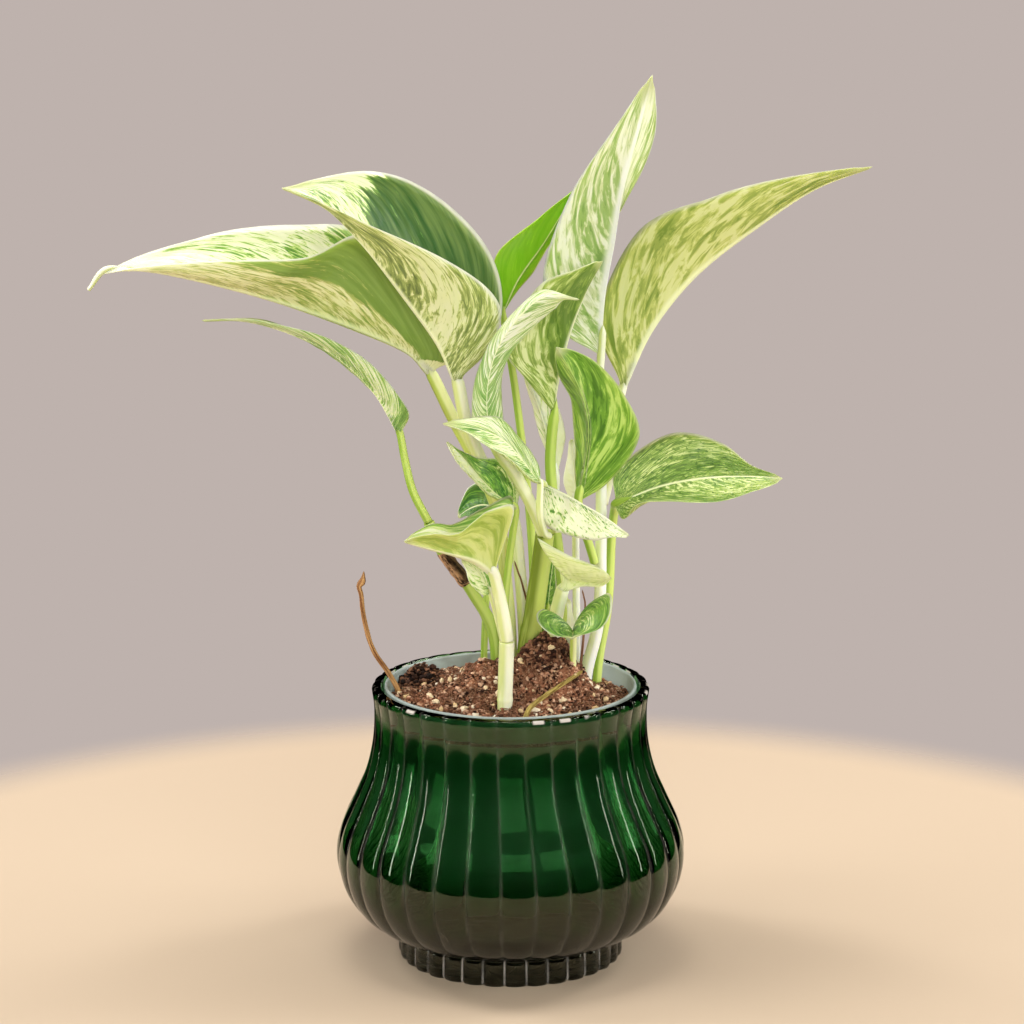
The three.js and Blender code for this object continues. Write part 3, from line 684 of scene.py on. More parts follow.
# Leaves, each as in the part. rib: from neck to point. left and right: how far the edge of
# each half stands off the rib, from neck to point. stalk and girth: the petiole. cup, wave and
# ripple: how hollow a blade is, and how far its edge swings and trembles. tip: the share of its
# length that narrows to the point. strand: where the point is drawn out.
LEAVES = [
    {
        "name": "leaf_far_left", "seed": 1.0, "stalk_colour": "yellow", "girth": (1.7, 1.7),
        "strand": (0.8, 0.93),
        "rib": [
            (-22, 4, 164.5), (-28, 4, 170.5), (-42, 2, 177), (-62, 0, 184.5), (-81, -2, 190),
            (-97, -4, 193.5), (-108, -5, 194), (-113.5, -5, 188),
        ],
        "left": [(11, -4, 2.5), (8, -12, 24.5), (19, -16, 10.5), (15, -5.5, 2.5)],
        "right": [(7, 10, 13), (5, 16.5, 22.5), (16, 16, 15.5), (15.5, 12.5, 6.5)],
        "stalk": [
            (0, 10.5, 61), (0, 10.2, 88), (-1.8, 8, 110), (-3.5, 4.5, 125), (-8.5, 4, 137.5),
            (-15.5, 4, 151),
        ],
    },
    {
        "name": "leaf_upper_left", "seed": 2.0, "stalk_colour": "cream", "girth": (1.6, 1.8),
        "rib": [
            (-14.5, -4, 164), (-19, -8, 174.5), (-27.5, -14, 187.5), (-38.5, -24, 203.5),
            (-49, -33, 215), (-58.5, -40, 219.5),
        ],
        "left": [(11, -3.5, 2.5), (20, -3, 4.5), (17, -4.5, 2), (5, -9, 0)],
        "right": [(14, 8.5, 8), (17.5, 12.5, 16.5), (14.5, 13.5, 16.5), (10, 11, 9)],
        "stalk": [
            (3.8, 10.5, 61), (3.8, 10, 88), (2.4, 6, 110), (0.3, 2.6, 125), (-6, 0, 136.5),
            (-11.6, -3, 150),
        ],
    },
    {
        "name": "leaf_bright_back", "seed": 3.0, "stalk_colour": "green", "girth": (1.3, 1.0),
        "rib": [(-2, 22, 178), (2.5, 22, 187.5), (9, 22, 197), (16, 22, 208.5), (22, 22, 215.5)],
        "left": [(-4.5, -7, 10), (-3, -9, 11), (-2, -8, 7.5), (-1, -4, 2)],
        "right": [(3, 13, 1), (4, 14, 0), (3.5, 10, 0), (3, 4, 0)],
        "stalk": [(7, 15, 61), (7, 15, 88), (5.5, 18, 120), (1.5, 21, 155)],
    },
    {
        "name": "leaf_tallest", "seed": 4.0, "stalk_colour": "cream", "girth": (1.2, 1.1),
        "rib": [
            (25, 14, 168), (26, 12, 184), (28.5, 10, 199.5), (30.5, 8, 214), (34, 6, 229), (38, 4, 245),
        ],
        "left": [(-13, -6, -1.5), (-18.5, -6, -1), (-14.5, -6, 3), (-6.5, -5.5, 4)],
        "right": [(-3, 16, 1), (-3, 17, 0), (2.5, 7, 2), (6, 5.5, 3)],
        "stalk": [(24.6, 6.2, 137.3), (24.4, 9, 144), (24.4, 13, 156)],
    },
    {
        "name": "leaf_rolled", "seed": 5.0, "stalk_colour": "cream", "girth": (1.6, 1.8), "tip": 0.2,
        "rib": [
            (-3, -14, 145.5), (-6, -15, 154.5), (-6, -17, 164.5), (-3.5, -20, 174.5),
            (2.5, -24, 184), (9, -27, 189.5), (18, -32, 189.5),
        ],
        "left": [(-4.5, 3.5, -1.5), (-3.5, 3.5, 1), (-0.5, 3.5, 3.5), (2.5, 2.5, 3.5)],
        "right": [(3.5, 3.5, 0.5), (4, 3.5, 3.5), (6, 3.5, 1), (6.5, 1.5, -1)],
        "cup": -0.05, "wave": 0.3,
        "stalk": [(8.8, -6.8, 121.5), (6.1, -9, 129), (1.6, -12.5, 138.5)],
    },
    {
        "name": "leaf_far_right", "seed": 6.0, "stalk_colour": "cream", "girth": (1.2, 1.2),
        "rib": [
            (31.5, 22, 157.5), (39, 22, 173.5), (51, 20, 189), (67, 16, 202.5), (82.5, 12, 213.5),
            (98, 8, 220),
        ],
        "left": [(-4, 12, 8), (-5, 15, 13), (-4, 14, 9), (-2, 8, 4)],
        "right": [(-11.5, -4, 9.5), (-9.5, -9, 20.5), (-6, -12, 15), (-2, -8, 6.5)],
        "stalk": [(25.8, 6.8, 127), (27.6, 10.5, 134), (29.4, 17, 146)],
    },
    {
        "name": "leaf_middle", "seed": 7.0, "stalk_colour": "green", "girth": (1.5, 1.5),
        "rib": [(12, 0, 154), (13.5, -2, 164), (16, -5, 175.5), (20, -8.5, 187.5), (24.5, -12, 197)],
        "left": [(-9, -7, 6), (-15, -7.5, 7), (-10, -8, 13), (-2.5, -5.5, 7.5)],
        "right": [(-5, 5, 3.5), (-7, 4.5, 7), (-6, 3.5, 6.5), (-4, 3.5, 3.5)],
        "cup": -0.05,
        "stalk": [(15, 8, 61), (14.5, 7, 100), (12.5, 6, 120), (11, 4, 137), (11.2, 2, 146)],
    },
    {
        "name": "leaf_middle_pale", "seed": 8.0, "stalk_colour": "white", "girth": (1.2, 1.1),
        "rib": [(12.5, 7, 136.5), (10.5, 7, 144), (8.5, 8, 151.5), (5.5, 8, 160), (3, 8, 168.5)],
        "left": [(-1.5, 3, 0), (-2, 3, 0), (-2, 3, 0), (-1.5, 2, 0)],
        "right": [(3, 3, 1), (5, 3, 1), (5, 3, 1), (3, 2, 0)],
        "wave": 0.2,
        "stalk": [(12, 12.5, 61), (12, 12.5, 88), (12.2, 10, 120)],
    },
    {
        "name": "leaf_centre_right", "seed": 9.0, "stalk_colour": "green", "girth": (1.2, 1.2),
        "rib": [
            (18.5, -4, 130.5), (20, -6, 139.5), (21, -10, 150.5), (19.5, -14, 160), (16, -18, 168.5),
            (12, -22, 175.5),
        ],
        "left": [(-2, 9, 2), (-3, 11, 1), (-4, 9, 1), (-4, 5, -1)],
        "right": [(7, 2, -1), (14.5, 8, 2), (10.5, 7.5, 3.5), (5, 4, 4)],
        "stalk": [(23.2, 3.2, 111), (21.5, 1.6, 117), (19.2, -1.6, 124)],
    },
    {
        "name": "leaf_right", "seed": 10.0, "stalk_colour": "green", "girth": (1.3, 1.2),
        "rib": [(29, -4, 129.5), (40, -5, 134), (51, -8, 137), (62, -12, 138.5), (73, -17, 139)],
        "left": [(-5, 13.5, 5), (1.5, 18.5, 10.5), (6.5, 15, 7), (4, 8, 1.5)],
        "right": [(-3.5, -4, -6), (-6, -12.5, -2), (4, -15, -3), (4, -10, -2)],
        "stalk": [(23.6, 10, 61), (24.6, 9.6, 80), (27.2, 8.5, 98), (28, 7, 117), (28.6, 2, 126.5)],
    },
    {
        "name": "leaf_cream_left", "seed": 11.0, "stalk_colour": "cream", "girth": (1.0, 0.9),
        "rib": [
            (8, -17, 138), (6.5, -17, 139.5), (3, -19, 144.5), (-1.5, -22, 150), (-7.5, -25, 153.5),
            (-18, -28, 156),
        ],
        "left": [(-1, -7, 1.5), (-4, -10, 3.5), (-5.5, -9.5, 2), (-5.5, -7, 1.5)],
        "right": [(0.5, 4, 2), (0, 5, 4.5), (-1.5, 2.5, 7), (-1.5, 5, 3.5)],
        "stalk": [(10.4, -9.2, 121.4), (9, -13.5, 123.5), (7.8, -17, 130)],
    },
    {
        "name": "leaf_cream_right", "seed": 12.0, "stalk_colour": "cream", "girth": (1.0, 0.9),
        "rib": [(8, -9, 136), (13.5, -13, 134.5), (19, -18.5, 132.5), (25, -24, 130), (31.5, -29, 126)],
        "left": [(1, 7, -3), (1, 9, -3), (0, 7, -3), (0, 4, -2)],
        "right": [(-1.5, -1, -9.5), (0.5, -6, -10), (3, -8.5, -8), (2.5, -6, -4.5)],
        "stalk": [(12.4, -6, 121.8), (11.8, -6.6, 129)],
    },
    {
        "name": "leaf_mottled_small", "seed": 13.0, "stalk_colour": "green", "girth": (1.2, 1.0),
        "rib": [
            (1.5, -6, 129), (-3.5, -9, 132.5), (-7.5, -13, 137.5), (-12.5, -18, 144.5), (-17, -22, 150),
        ],
        "left": [(-0.5, -2.5, 1), (-3, -7, 2.5), (-3.5, -7.5, 3.5), (-2.5, -6, 2)],
        "right": [(4, 5.5, 5.5), (3, 6, 8), (-1, 6.5, 5), (-0.5, 5, 1)],
        "stalk": [
            (-1.8, 4, 61), (-1.8, 4, 88.8), (-1.5, 3, 100.5), (-0.4, 1.6, 112.1), (0.7, -1.6, 121.2),
        ],
    },
    {
        "name": "leaf_round_dark", "seed": 14.0, "stalk_colour": "green", "girth": (1.0, 0.9),
        "rib": [(-4, 9.5, 125.5), (-8, 9.5, 126), (-11.5, 8.5, 125), (-14.5, 7.5, 123)],
        "left": [(-1, -4, -3), (-1, -5, -4), (-1, -4, -3), (0, -2, -1)],
        "right": [(2, 3, 3.5), (1, 4, 6), (-1.5, 3.5, 5), (-1.5, 2, 2)],
        "wave": 0.2,
        "stalk": [(-8, 14, 61), (-7, 13, 95), (-5, 11, 117)],
    },
    {
        "name": "leaf_front_left", "seed": 15.0, "stalk_colour": "cream", "girth": (2.0, 1.5),
        "rib": [
            (-4.5, -22, 114), (-9.5, -26, 118.5), (-15.5, -30, 121.5), (-22, -34, 124),
            (-28, -38, 126.5),
        ],
        "left": [(7.8, -9, 18), (5.2, -7, 14.4), (2.8, -6.4, 7), (2.6, -4.6, 4.8)],
        "right": [(7.5, 12.5, 15.8), (3.5, 13, 11), (0.5, 11, 5.5), (0.5, 7, 4.5)],
        "cup": -0.06,
        "stalk": [(-1, -18, 94.5), (-2.6, -19.6, 105)],
    },
    {
        "name": "leaf_front_left_lower", "seed": 16.0, "stalk_colour": "cream", "girth": (0.9, 0.8),
        "rib": [(-5.5, -15, 107.5), (-9, -17, 113), (-13, -19, 117.5)],
        "left": [(-1, -2, -2), (-2, -3, -2), (-2, -3, -2), (-1, -1.5, -1)],
        "right": [(1, 3, 1.5), (1, 4, 2), (1, 4, 2), (0.5, 2, 1)],
        "wave": 0.2,
        "stalk": [(-1.2, -15.6, 90), (-3.4, -14.6, 99)],
    },
    {
        "name": "leaf_pale_wedge", "seed": 17.0, "stalk_colour": "cream", "girth": (2.0, 1.9),
        "rib": [(14.5, -12, 108), (19.5, -14, 109.6), (24.4, -17, 110), (27, -20, 112.5)],
        "left": [(-1, 6, 0.5), (-1, 7, 1), (-1, 6, 0.5), (-1, 4, 0)],
        "right": [
            (-1.9, -3.7, 4.7), (-3.6, -5.3, 9.2), (-10.5, -6.8, 13.9), (-8.2, -7.2, 11.8),
            (-6, -7.4, 10), (-4.5, -6.9, 8.6), (-2.9, -6.3, 7.1), (-2, -5.8, 5.6), (-0.8, -4.2, 3.4),
        ],
        "wave": 0.3,
        "stalk": [(11.6, 2.6, 61), (11.6, 2.6, 82), (12, -1.5, 91), (12.8, -7.5, 100)],
    },
    {
        "name": "leaf_low_saddle", "seed": 18.0, "stalk_colour": "yellow", "girth": (1.0, 0.9),
        "rib": [(17, -11, 95), (17, -16, 95.5), (16.5, -22, 96)],
        "left": [(5, 6, 7), (9.5, 5, 10), (10.5, -1, 9), (8, -3.5, 3.5)],
        "right": [(-6, 1.5, 5.5), (-9.5, 0.5, 6), (-9.5, -2.5, 4), (-6, -3.5, 1.5)],
        "wave": 0.2, "cup": -0.06,
        "stalk": [(17.2, -3, 61), (17.2, -4, 82), (17.2, -8.5, 91.5)],
    },
    {
        "name": "leaf_thin_left", "seed": 19.0, "stalk_colour": "green", "girth": (1.2, 1.0),
        "rib": [
            (-30.5, 2, 148.5), (-37, 0, 160), (-48, -3, 171), (-60, -5, 177), (-71.5, -8, 180.5),
            (-82.5, -12, 181),
        ],
        "left": [(6.5, -5, 0), (5.5, -6, 1.5), (3, -5, 2), (1.5, -3, 1)],
        "right": [(0, 9, 0), (-1, 12, -1), (0, 9, -1), (0, 4, 0)],
        "stalk": [(-22.6, 0.2, 123.3), (-26.8, 0, 132), (-29, 1, 141)],
    },
    {
        "name": "leaf_sliver", "seed": 20.0, "stalk_colour": "green", "girth": (0.9, 0.8),
        "rib": [(10.4, 3.4, 99), (11, 3, 105), (12, 2.6, 113)],
        "left": [(-1.4, 0, 0), (-1.7, 0, 0), (-1.5, 0, 0), (-0.9, 0, 0)],
        "right": [(1.4, 0, 0), (1.7, 0, 0), (1.5, 0, 0), (0.9, 0, 0)],
        "wave": 0.1, "ripple": 0.1,
        "stalk": [(9.4, 8.8, 61), (9.4, 8.8, 85), (9.6, 5.5, 94)],
    },
    {
        "name": "leaf_pale_sprout", "seed": 21.0, "stalk_colour": "white", "girth": (1.1, 1.1),
        "rib": [(16.9, 2.4, 88), (16.7, 2.2, 94), (16, 2, 101)],
        "left": [(-1.4, 0.6, 0), (-1.5, 0.6, 0), (-1.2, 0.4, 0), (-0.7, 0, 0)],
        "right": [(1.4, 0.6, 0), (1.5, 0.6, 0), (1.2, 0.4, 0), (0.7, 0, 0)],
        "wave": 0.1, "ripple": 0.1,
        "stalk": [(16.4, 1.6, 61), (16.6, 2, 78)],
    },
    {
        "name": "leaf_pale_back", "seed": 22.0, "stalk_colour": "white", "girth": (1.1, 1.0),
        "rib": [(18, 11, 125), (17.8, 11.5, 132), (17.4, 12.5, 138), (17, 13.5, 144)],
        "left": [(-2, 1.5, 0), (-3, 1.5, 0), (-2.5, 1.5, 0), (-1.5, 1, 0)],
        "right": [(2, 1.5, 0), (3, 1.5, 0), (2.5, 1.5, 0), (1.5, 1, 0)],
        "wave": 0.2,
        "stalk": [(18.5, 12, 61), (18.5, 12, 90), (18.2, 11, 112)],
    },
]

FAR_RIGHT_TONES = (srgb(214, 218, 156), srgb(188, 196, 112), srgb(148, 164, 80), srgb(112, 138, 52))
MIDDLE_TONES = (srgb(218, 226, 168), srgb(172, 190, 110), srgb(126, 152, 66), srgb(86, 120, 40))

# How each blade is marked, in leaf_finish's words.
MARKS = {
    "leaf_far_left": {
        "left": 0.0, "right": -0.1, "rib_width": 1.3, "fleck": (1.3, 1.8), "contrast": 1.1,
        "under": (srgb(230, 226, 186), srgb(206, 202, 146), srgb(160, 168, 96), srgb(112, 142, 62)),
        "patches": [
            (-0.06, -0.95, 0.32, 0.75, 0.34, 0.5), (0.3, 0.98, 0.13, 0.16, 0.16, 0.1),
            (0.42, 0.8, 0.03, 0.12, 0.1, 0.2), (0.0, -0.4, 0.15, 0.8, -0.5, 0.0),
            (1.0, 0.0, 0.17, 8.0, -0.6, 0.0),
        ],
    },
    "leaf_upper_left": {
        "left": 0.06, "right": -0.04, "gloss": 0.3, "contrast": 1.1, "fleck": (1.5, 2.0),
        # The two greens of tones are greyed: the blade's own green with a painted sheen over it.
        "tones": (CREAM, GREY_GREEN, srgb(104, 146, 74), srgb(50, 92, 48)),
        "under": (srgb(226, 228, 180), srgb(190, 198, 126), srgb(138, 152, 80), srgb(94, 112, 54)),
        "patches": [(0.15, 0.65, 0.52, 0.7, 0.5, 0.17)],
    },
    "leaf_bright_back": {
        "left": 0.3, "right": 0.3, "areas": 0.2,
        # These bright yellow-greens, above and below, are the blade's own green with painted light
        # shining through it from behind.
        "tones": (srgb(230, 244, 150), srgb(190, 228, 80), srgb(140, 200, 36), srgb(120, 184, 24)),
        "under": (srgb(230, 244, 150), srgb(190, 228, 80), srgb(146, 204, 40), srgb(130, 194, 30)),
    },
    "leaf_tallest": {
        "left": 0.05, "right": -0.01, "rib_width": 2.2, "rib": srgb(250, 252, 232), "fleck": (3.6, 3.2),
        "tones": (srgb(238, 242, 212), srgb(206, 216, 166), srgb(150, 180, 100), srgb(112, 150, 66)),
    },
    "leaf_rolled": {
        "left": 0.03, "right": 0.03, "fleck": (0.9, 2.6), "areas": 0.3,
        "tones": (srgb(246, 250, 224), srgb(206, 222, 160), srgb(140, 178, 96), srgb(96, 146, 66)),
    },
    "leaf_far_right": {
        "left": 0.05, "right": 0.05, "rib_width": 1.6, "fleck": (4.6, 3.2), "contrast": 1.1,
        "tones": FAR_RIGHT_TONES, "under": FAR_RIGHT_TONES,
    },
    "leaf_middle": {
        "left": 0.1, "right": 0.1, "fleck": (2.2, 2.0), "rib_width": 1.6,
        "tones": MIDDLE_TONES, "under": MIDDLE_TONES,
    },
    "leaf_middle_pale": {"left": -0.1, "right": -0.15},
    "leaf_centre_right": {
        "left": 0.1, "right": 0.12, "fleck": (2.8, 2.2), "contrast": 0.8,
        "rib": srgb(170, 200, 110), "rib_width": 0.6,
        "tones": (srgb(186, 210, 112), srgb(146, 180, 74), srgb(102, 146, 44), srgb(62, 106, 26)),
    },
    "leaf_right": {
        "left": 0.11, "right": 0.08, "fleck": (1.0, 1.2), "specks": 0.12, "areas": 0.3,
        "tones": (srgb(228, 236, 174), srgb(176, 198, 112), srgb(112, 148, 62), srgb(66, 104, 42)),
    },
    "leaf_cream_left": {"left": 0.02, "right": 0.03, "fleck": (0.6, 2.2), "contrast": 1.2},
    "leaf_cream_right": {"left": -0.08, "right": -0.04, "fleck": (0.9, 1.2), "specks": 0.16},
    "leaf_mottled_small": {"left": -0.06, "right": 0.06, "fleck": (1.0, 1.2), "specks": 0.1},
    "leaf_round_dark": {"left": 0.24, "right": 0.24, "areas": 0.2},
    "leaf_front_left": {
        "left": 0.0, "right": 0.05, "fleck": (2.5, 3.0), "contrast": 0.5,
        "under": (srgb(212, 220, 138), srgb(188, 202, 106), srgb(156, 178, 74), srgb(122, 148, 52)),
    },
    "leaf_front_left_lower": {"left": 0.0, "right": 0.04, "fleck": (1.2, 1.6)},
    "leaf_pale_wedge": {
        "left": -0.02, "right": -0.02, "fleck": (1.2, 1.2), "areas": 0.3, "specks": 0.04,
        "tones": (srgb(234, 243, 180), srgb(214, 230, 146), srgb(192, 214, 118), LEAF_GREEN),
        "under": (srgb(234, 243, 184), srgb(216, 230, 152), srgb(196, 216, 124), LEAF_GREEN),
    },
    "leaf_low_saddle": {"left": 0.1, "right": 0.06, "fleck": (1.4, 1.4), "specks": 0.06},
    "leaf_thin_left": {
        "left": 0.06, "right": 0.06, "fleck": (0.8, 3.0),
        "under": (srgb(226, 234, 190), srgb(176, 204, 124), srgb(118, 162, 74), srgb(84, 130, 50)),
    },
    "leaf_sliver": {"left": 0.16, "right": 0.16, "fleck": (0.8, 0.8)},
    "leaf_pale_sprout": {"left": -0.4, "right": -0.4},
    "leaf_pale_back": {"left": -0.4, "right": -0.4},
}


def make_leaf(leaf):
    mesh = new_bmesh()
    blade(mesh, leaf)
    petiole(mesh, leaf)
    finish = leaf_finish(leaf["name"] + "_blade", leaf["seed"], blade_size(leaf), **MARKS[leaf["name"]])
    materials = [finish, STALKS[leaf["stalk_colour"]]]
    if "strand" in leaf:
        strand(mesh, leaf)
        materials.append(STALKS["cream"])
    finish_piece(leaf["name"] + "_fine", mesh, materials, [leaf["name"]])


# Vines: name, colour, girth at the foot and the top, and route.
VINES = [
    ("stem_main", "olive", (3, 2.6), [
        (4.6, 5, 61), (4.6, 4, 84.5), (6.2, 2, 95), (8.1, -2, 110), (9.4, -6, 121.5)]),
    ("stem_front", "cream", (2.0, 2.1), [(-1.5, -17.5, 61), (-1.5, -17, 77.5), (-1, -18, 94)]),
    ("stem_left", "green", (1.8, 1.5), [
        (-4.2, 8, 61), (-4.4, 8, 87.7), (-11, 4, 103), (-18.9, 2, 114.5), (-22.4, 0.2, 123)]),
    ("stem_right", "white", (1.8, 1.5), [
        (20, 5, 61), (21, 4.5, 78), (23.8, 4, 90.5), (24.8, 4, 100), (25, 5, 118), (25, 6, 136.5)]),
]

# Dried pieces on the mix: name, girth at both ends, and route.
DRIED = [
    ("dried_stalk", (0.8, 0.6), [
        (-29, -2, 66), (-30.2, -2, 73), (-32.6, -2, 79), (-38, -3, 88), (-40.3, -4, 97),
        (-41, -4, 103.5), (-41.6, -4, 106), (-40.6, -4, 107.6), (-40.2, -4, 110.4)]),
    ("fallen_twig", (0.7, 0.6), [
        (3.2, -29, 73), (5, -26.5, 77.4), (9.4, -20, 79.4), (14.1, -12, 80.4), (18.2, -6.6, 81.6),
        (20, -5, 82.4)]),
]

# The dry sheath: the hundredths of the left vine that it wraps, and its curled lip.
SHEATH_SPAN = (69, 87)
SHEATH_LIP = [(-10.2, -0.6, 107.6), (-11.7, -1.9, 106.7), (-13.3, -2.5, 106.3), (-14.8, -2.5, 107.3)]

# Thin dry strands among the stems.
WISPS = [
    [(6.5, 8, 80), (6, 8, 92), (3.2, 5, 104.7), (2.1, 4, 108.1), (1, 3, 111.8)],
    [(18.9, 0, 78), (20.1, 0, 89.5), (20.6, 0, 99.2), (20.3, 0, 101.8), (19.7, 0, 104.3)],
]


def make_vines():
    def ringed(turn, share):
        ring = math.exp(-((share - 0.5) / 0.02) ** 2)
        return 1 + 0.08 * ring + 0.03 * math.sin(3 * turn)

    for name, colour, (first, last), route in VINES:
        mesh = new_bmesh()

        def girth(share):
            return lerp(first, last, share)

        rod(mesh, route, girth, sides=24, steps=80, swell=ringed, round_tip=False)
        finish_piece(name + "_fine", mesh, [STALKS[colour]], [name])


def make_dried():
    bark = dry_finish("dry_bark", srgb(120, 74, 42), srgb(206, 158, 102), around=6.0, lengthways=3.0)
    straw = dry_finish("dry_straw", srgb(122, 96, 40), srgb(190, 168, 92))
    for (name, (first, last), route), finish in zip(DRIED, (bark, straw)):
        mesh = new_bmesh()

        def swell(turn, share):
            return 1 + 0.2 * noise.noise(Vector((math.cos(turn), math.sin(turn), share * 12)))

        def girth(share):
            knob = math.exp(-((share - 0.93) / 0.025) ** 2) if name == "dried_stalk" else 0
            return lerp(first, last, share) * (1 + 0.7 * knob - 0.6 * smooth(0.95, 1, share))

        rod(mesh, route, girth, sides=12, steps=70, swell=swell)
        finish_piece(name + "_fine", mesh, [finish], [name])


def make_sheath():
    papery = dry_finish(
        "dry_sheath", srgb(40, 24, 14), srgb(214, 168, 124), lengthways=2.2, shaded=0.75)
    routes = {name: route for name, _, _, route in VINES}
    route = even_route(vectors(routes["stem_left"]), 100)[slice(*SHEATH_SPAN)]
    mesh = new_bmesh()

    def swell(turn, share):
        frill = noise.noise(Vector((math.cos(turn) * 1.5, math.sin(turn) * 1.5, share * 6)))
        return 1 + 0.14 * frill

    def girth(share):
        return lerp(1.95, 1.75, share) * (0.92 + 0.08 * smooth(0, 0.1, share) * smooth(1, 0.9, share))

    rod(mesh, route, girth, sides=24, steps=40, swell=swell, round_tip=False)
    rod(mesh, SHEATH_LIP, lambda share: 0.5 - 0.3 * share, sides=10, steps=16)
    finish_piece("dried_sheath_fine", mesh, [papery], ["dried_sheath"])


def make_wisps():
    mesh = new_bmesh()
    for route in WISPS:
        rod(mesh, route, lambda share: 0.45 - 0.25 * share, sides=8, steps=30)
    finish = dry_finish("dry_wisp", srgb(96, 58, 40), srgb(176, 130, 96))
    finish_piece("dry_wisps", mesh, [finish])


def smooth_profile(points, steps):
    """points and steps - 1 more between each two of them, on the smooth curve through all."""
    places = [Vector((radius, 0, height)) for radius, height in points]
    count = (len(points) - 1) * steps
    return [(p.x, p.z) for p in (spline_point(places, i / count) for i in range(count + 1))]


def make_glass_pot():
    outside = smooth_profile(GLASS_OUTSIDE, 5)
    rim = smooth_profile([GLASS_OUTSIDE[-1], *GLASS_RIM, GLASS_INSIDE[0]], 3)[1:-1]
    inside = smooth_profile(GLASS_INSIDE, 4)
    profile = [
        (0, 0), (GLASS_BASE_RADIUS, 0), *outside, *rim, *inside, (0, GLASS_FLOOR_HEIGHT)]
    fluted = 3 + len(outside) + len(rim) // 2
    around = FLUTES * FLUTE_STEPS
    mesh = new_bmesh()

    def place(i, j):
        radius, height = profile[j]
        bend = math.radians(FLUTE_BEND) * (2 * (i % FLUTE_STEPS) / FLUTE_STEPS - 1)
        if 1 < j < fluted:
            foot, rim_share = smooth(6, 12, height), smooth(66, 74, height)
            depth = FLUTE_DEPTH * lerp(1.3, 1.0, foot) * lerp(1.0, 0.7, rim_share)
            radius -= depth * (1 - math.cos(bend))
        lobe = math.sin(bend) / math.sin(math.radians(FLUTE_BEND))
        turn = FULL_TURN * (i // FLUTE_STEPS + lobe / 2) / FLUTES + FLUTE_LEAN * smooth(76, 30, height)
        return Vector((radius * math.sin(turn), -radius * math.cos(turn), height))

    last = len(profile) - 1
    rolled_grid(mesh, around, last, place)
    finish_piece(
        "glass_pot_fine", mesh, [glass_finish((fluted - 1) / last)], ["glass_pot"])


def make_nursery_pot():
    base, top = LINER_BASE_HEIGHT, LINER_BASE_HEIGHT + LINER_HEIGHT
    lip = top - LINER_LIP_HEIGHT
    wall = LINER_WALL
    profile = [
        (0, base), (LINER_BASE_RADIUS - 1, base), (LINER_BASE_RADIUS, base + 1),
        (LINER_SHOULDER_RADIUS, lip - 1), (LINER_SHOULDER_RADIUS + 0.3, lip - 0.6),
        (LINER_LIP_RADIUS - 0.2, lip + 0.1), (LINER_LIP_RADIUS, lip + 0.4),
        (LINER_LIP_RADIUS, top - 0.5), (LINER_LIP_RADIUS - 0.15, top - 0.1),
        (LINER_LIP_RADIUS - 0.5, top), (LINER_LIP_RADIUS - 0.85, top - 0.1),
        (LINER_LIP_RADIUS - wall, top - 0.5), (LINER_LIP_RADIUS - wall, lip + 0.4),
        (LINER_SHOULDER_RADIUS - wall, lip - 1), (LINER_BASE_RADIUS - wall, base + wall),
        (0, base + wall),
    ]
    mesh = new_bmesh()

    def place(i, j):
        turn = FULL_TURN * i / LINER_STEPS
        radius, height = profile[j]
        return Vector((radius * math.cos(turn), radius * math.sin(turn), height))

    rolled_grid(mesh, LINER_STEPS, len(profile) - 1, place)
    finish_piece("nursery_pot_fine", mesh, [plastic_finish()], ["nursery_pot"])


def soil_height(x, y):
    """Height of the mix, with its heaps and its finer unevenness."""
    heaps = sum(height * math.exp(-((x - hx) ** 2 + (y - hy) ** 2) / (2 * spread * spread))
                for hx, hy, height, spread in SOIL_HEAPS)
    crumbs = noise.fractal(Vector((x * 0.32, y * 0.32, 4.0)), 1.0, 2.0, 4)
    return SOIL_LEVEL + heaps + 1.3 * crumbs


def make_soil():
    side = [(0, 16), (23, 16), (31.6, 67.6), (SOIL_RADIUS, 69.2)]
    mesh = new_bmesh()

    def place(i, j):
        turn = FULL_TURN * i / SOIL_STEPS
        if j < len(side):
            radius, height = side[j]
        else:
            radius = SOIL_RADIUS * (1 - (j - len(side)) / SOIL_RINGS)
            height = soil_height(radius * math.cos(turn), radius * math.sin(turn))
            if j == len(side):
                height = clamp(height, *SOIL_EDGE)
        return Vector((radius * math.cos(turn), radius * math.sin(turn), height))

    rolled_grid(mesh, SOIL_STEPS, len(side) + SOIL_RINGS, place)
    finish_piece("soil_fine", mesh, [soil_finish()], ["soil"])


def add_lump(mesh, draw, sizes, sink, squash, heap):
    """Adds a small lump with a random size, place, form and tone."""
    size = lerp(*sizes, draw.random() ** 2.2)
    distance = (SOIL_RADIUS - size - 0.6) * math.sqrt(draw.random())
    turn = FULL_TURN * draw.random()
    x, y, lift = distance * math.cos(turn), distance * math.sin(turn), 0.0
    if heap:
        heap_x, heap_y, spread, heap_height = heap
        share = math.sqrt(draw.random())
        x, y = heap_x + spread * share * math.cos(turn), heap_y + spread * share * math.sin(turn)
        lift = heap_height * (1 - share ** 2) * lerp(0.3, 1.0, draw.random())
    lump = bmesh.ops.create_icosphere(mesh, subdivisions=1, radius=1)["verts"]
    stretch = Vector((
        draw.uniform(0.6, 1.3), draw.uniform(0.6, 1.3), draw.uniform(0.5, 1.0) * squash))
    spin = Matrix.Rotation(draw.uniform(0, math.pi), 4, "Z")
    spin = spin @ Matrix.Rotation(draw.uniform(-0.7, 0.7), 4, "X")
    height = soil_height(x, y) + size * (0.5 - sink) + lift
    for vert in lump:
        rough = 1 + draw.uniform(-0.22, 0.22)
        vert.co = spin @ (vert.co * stretch * size * rough) + Vector((x, y, height))
    shade = draw.random()
    tone = mesh.faces.layers.float["tone"]
    for face in {face for vert in lump for face in vert.link_faces}:
        face[tone] = shade


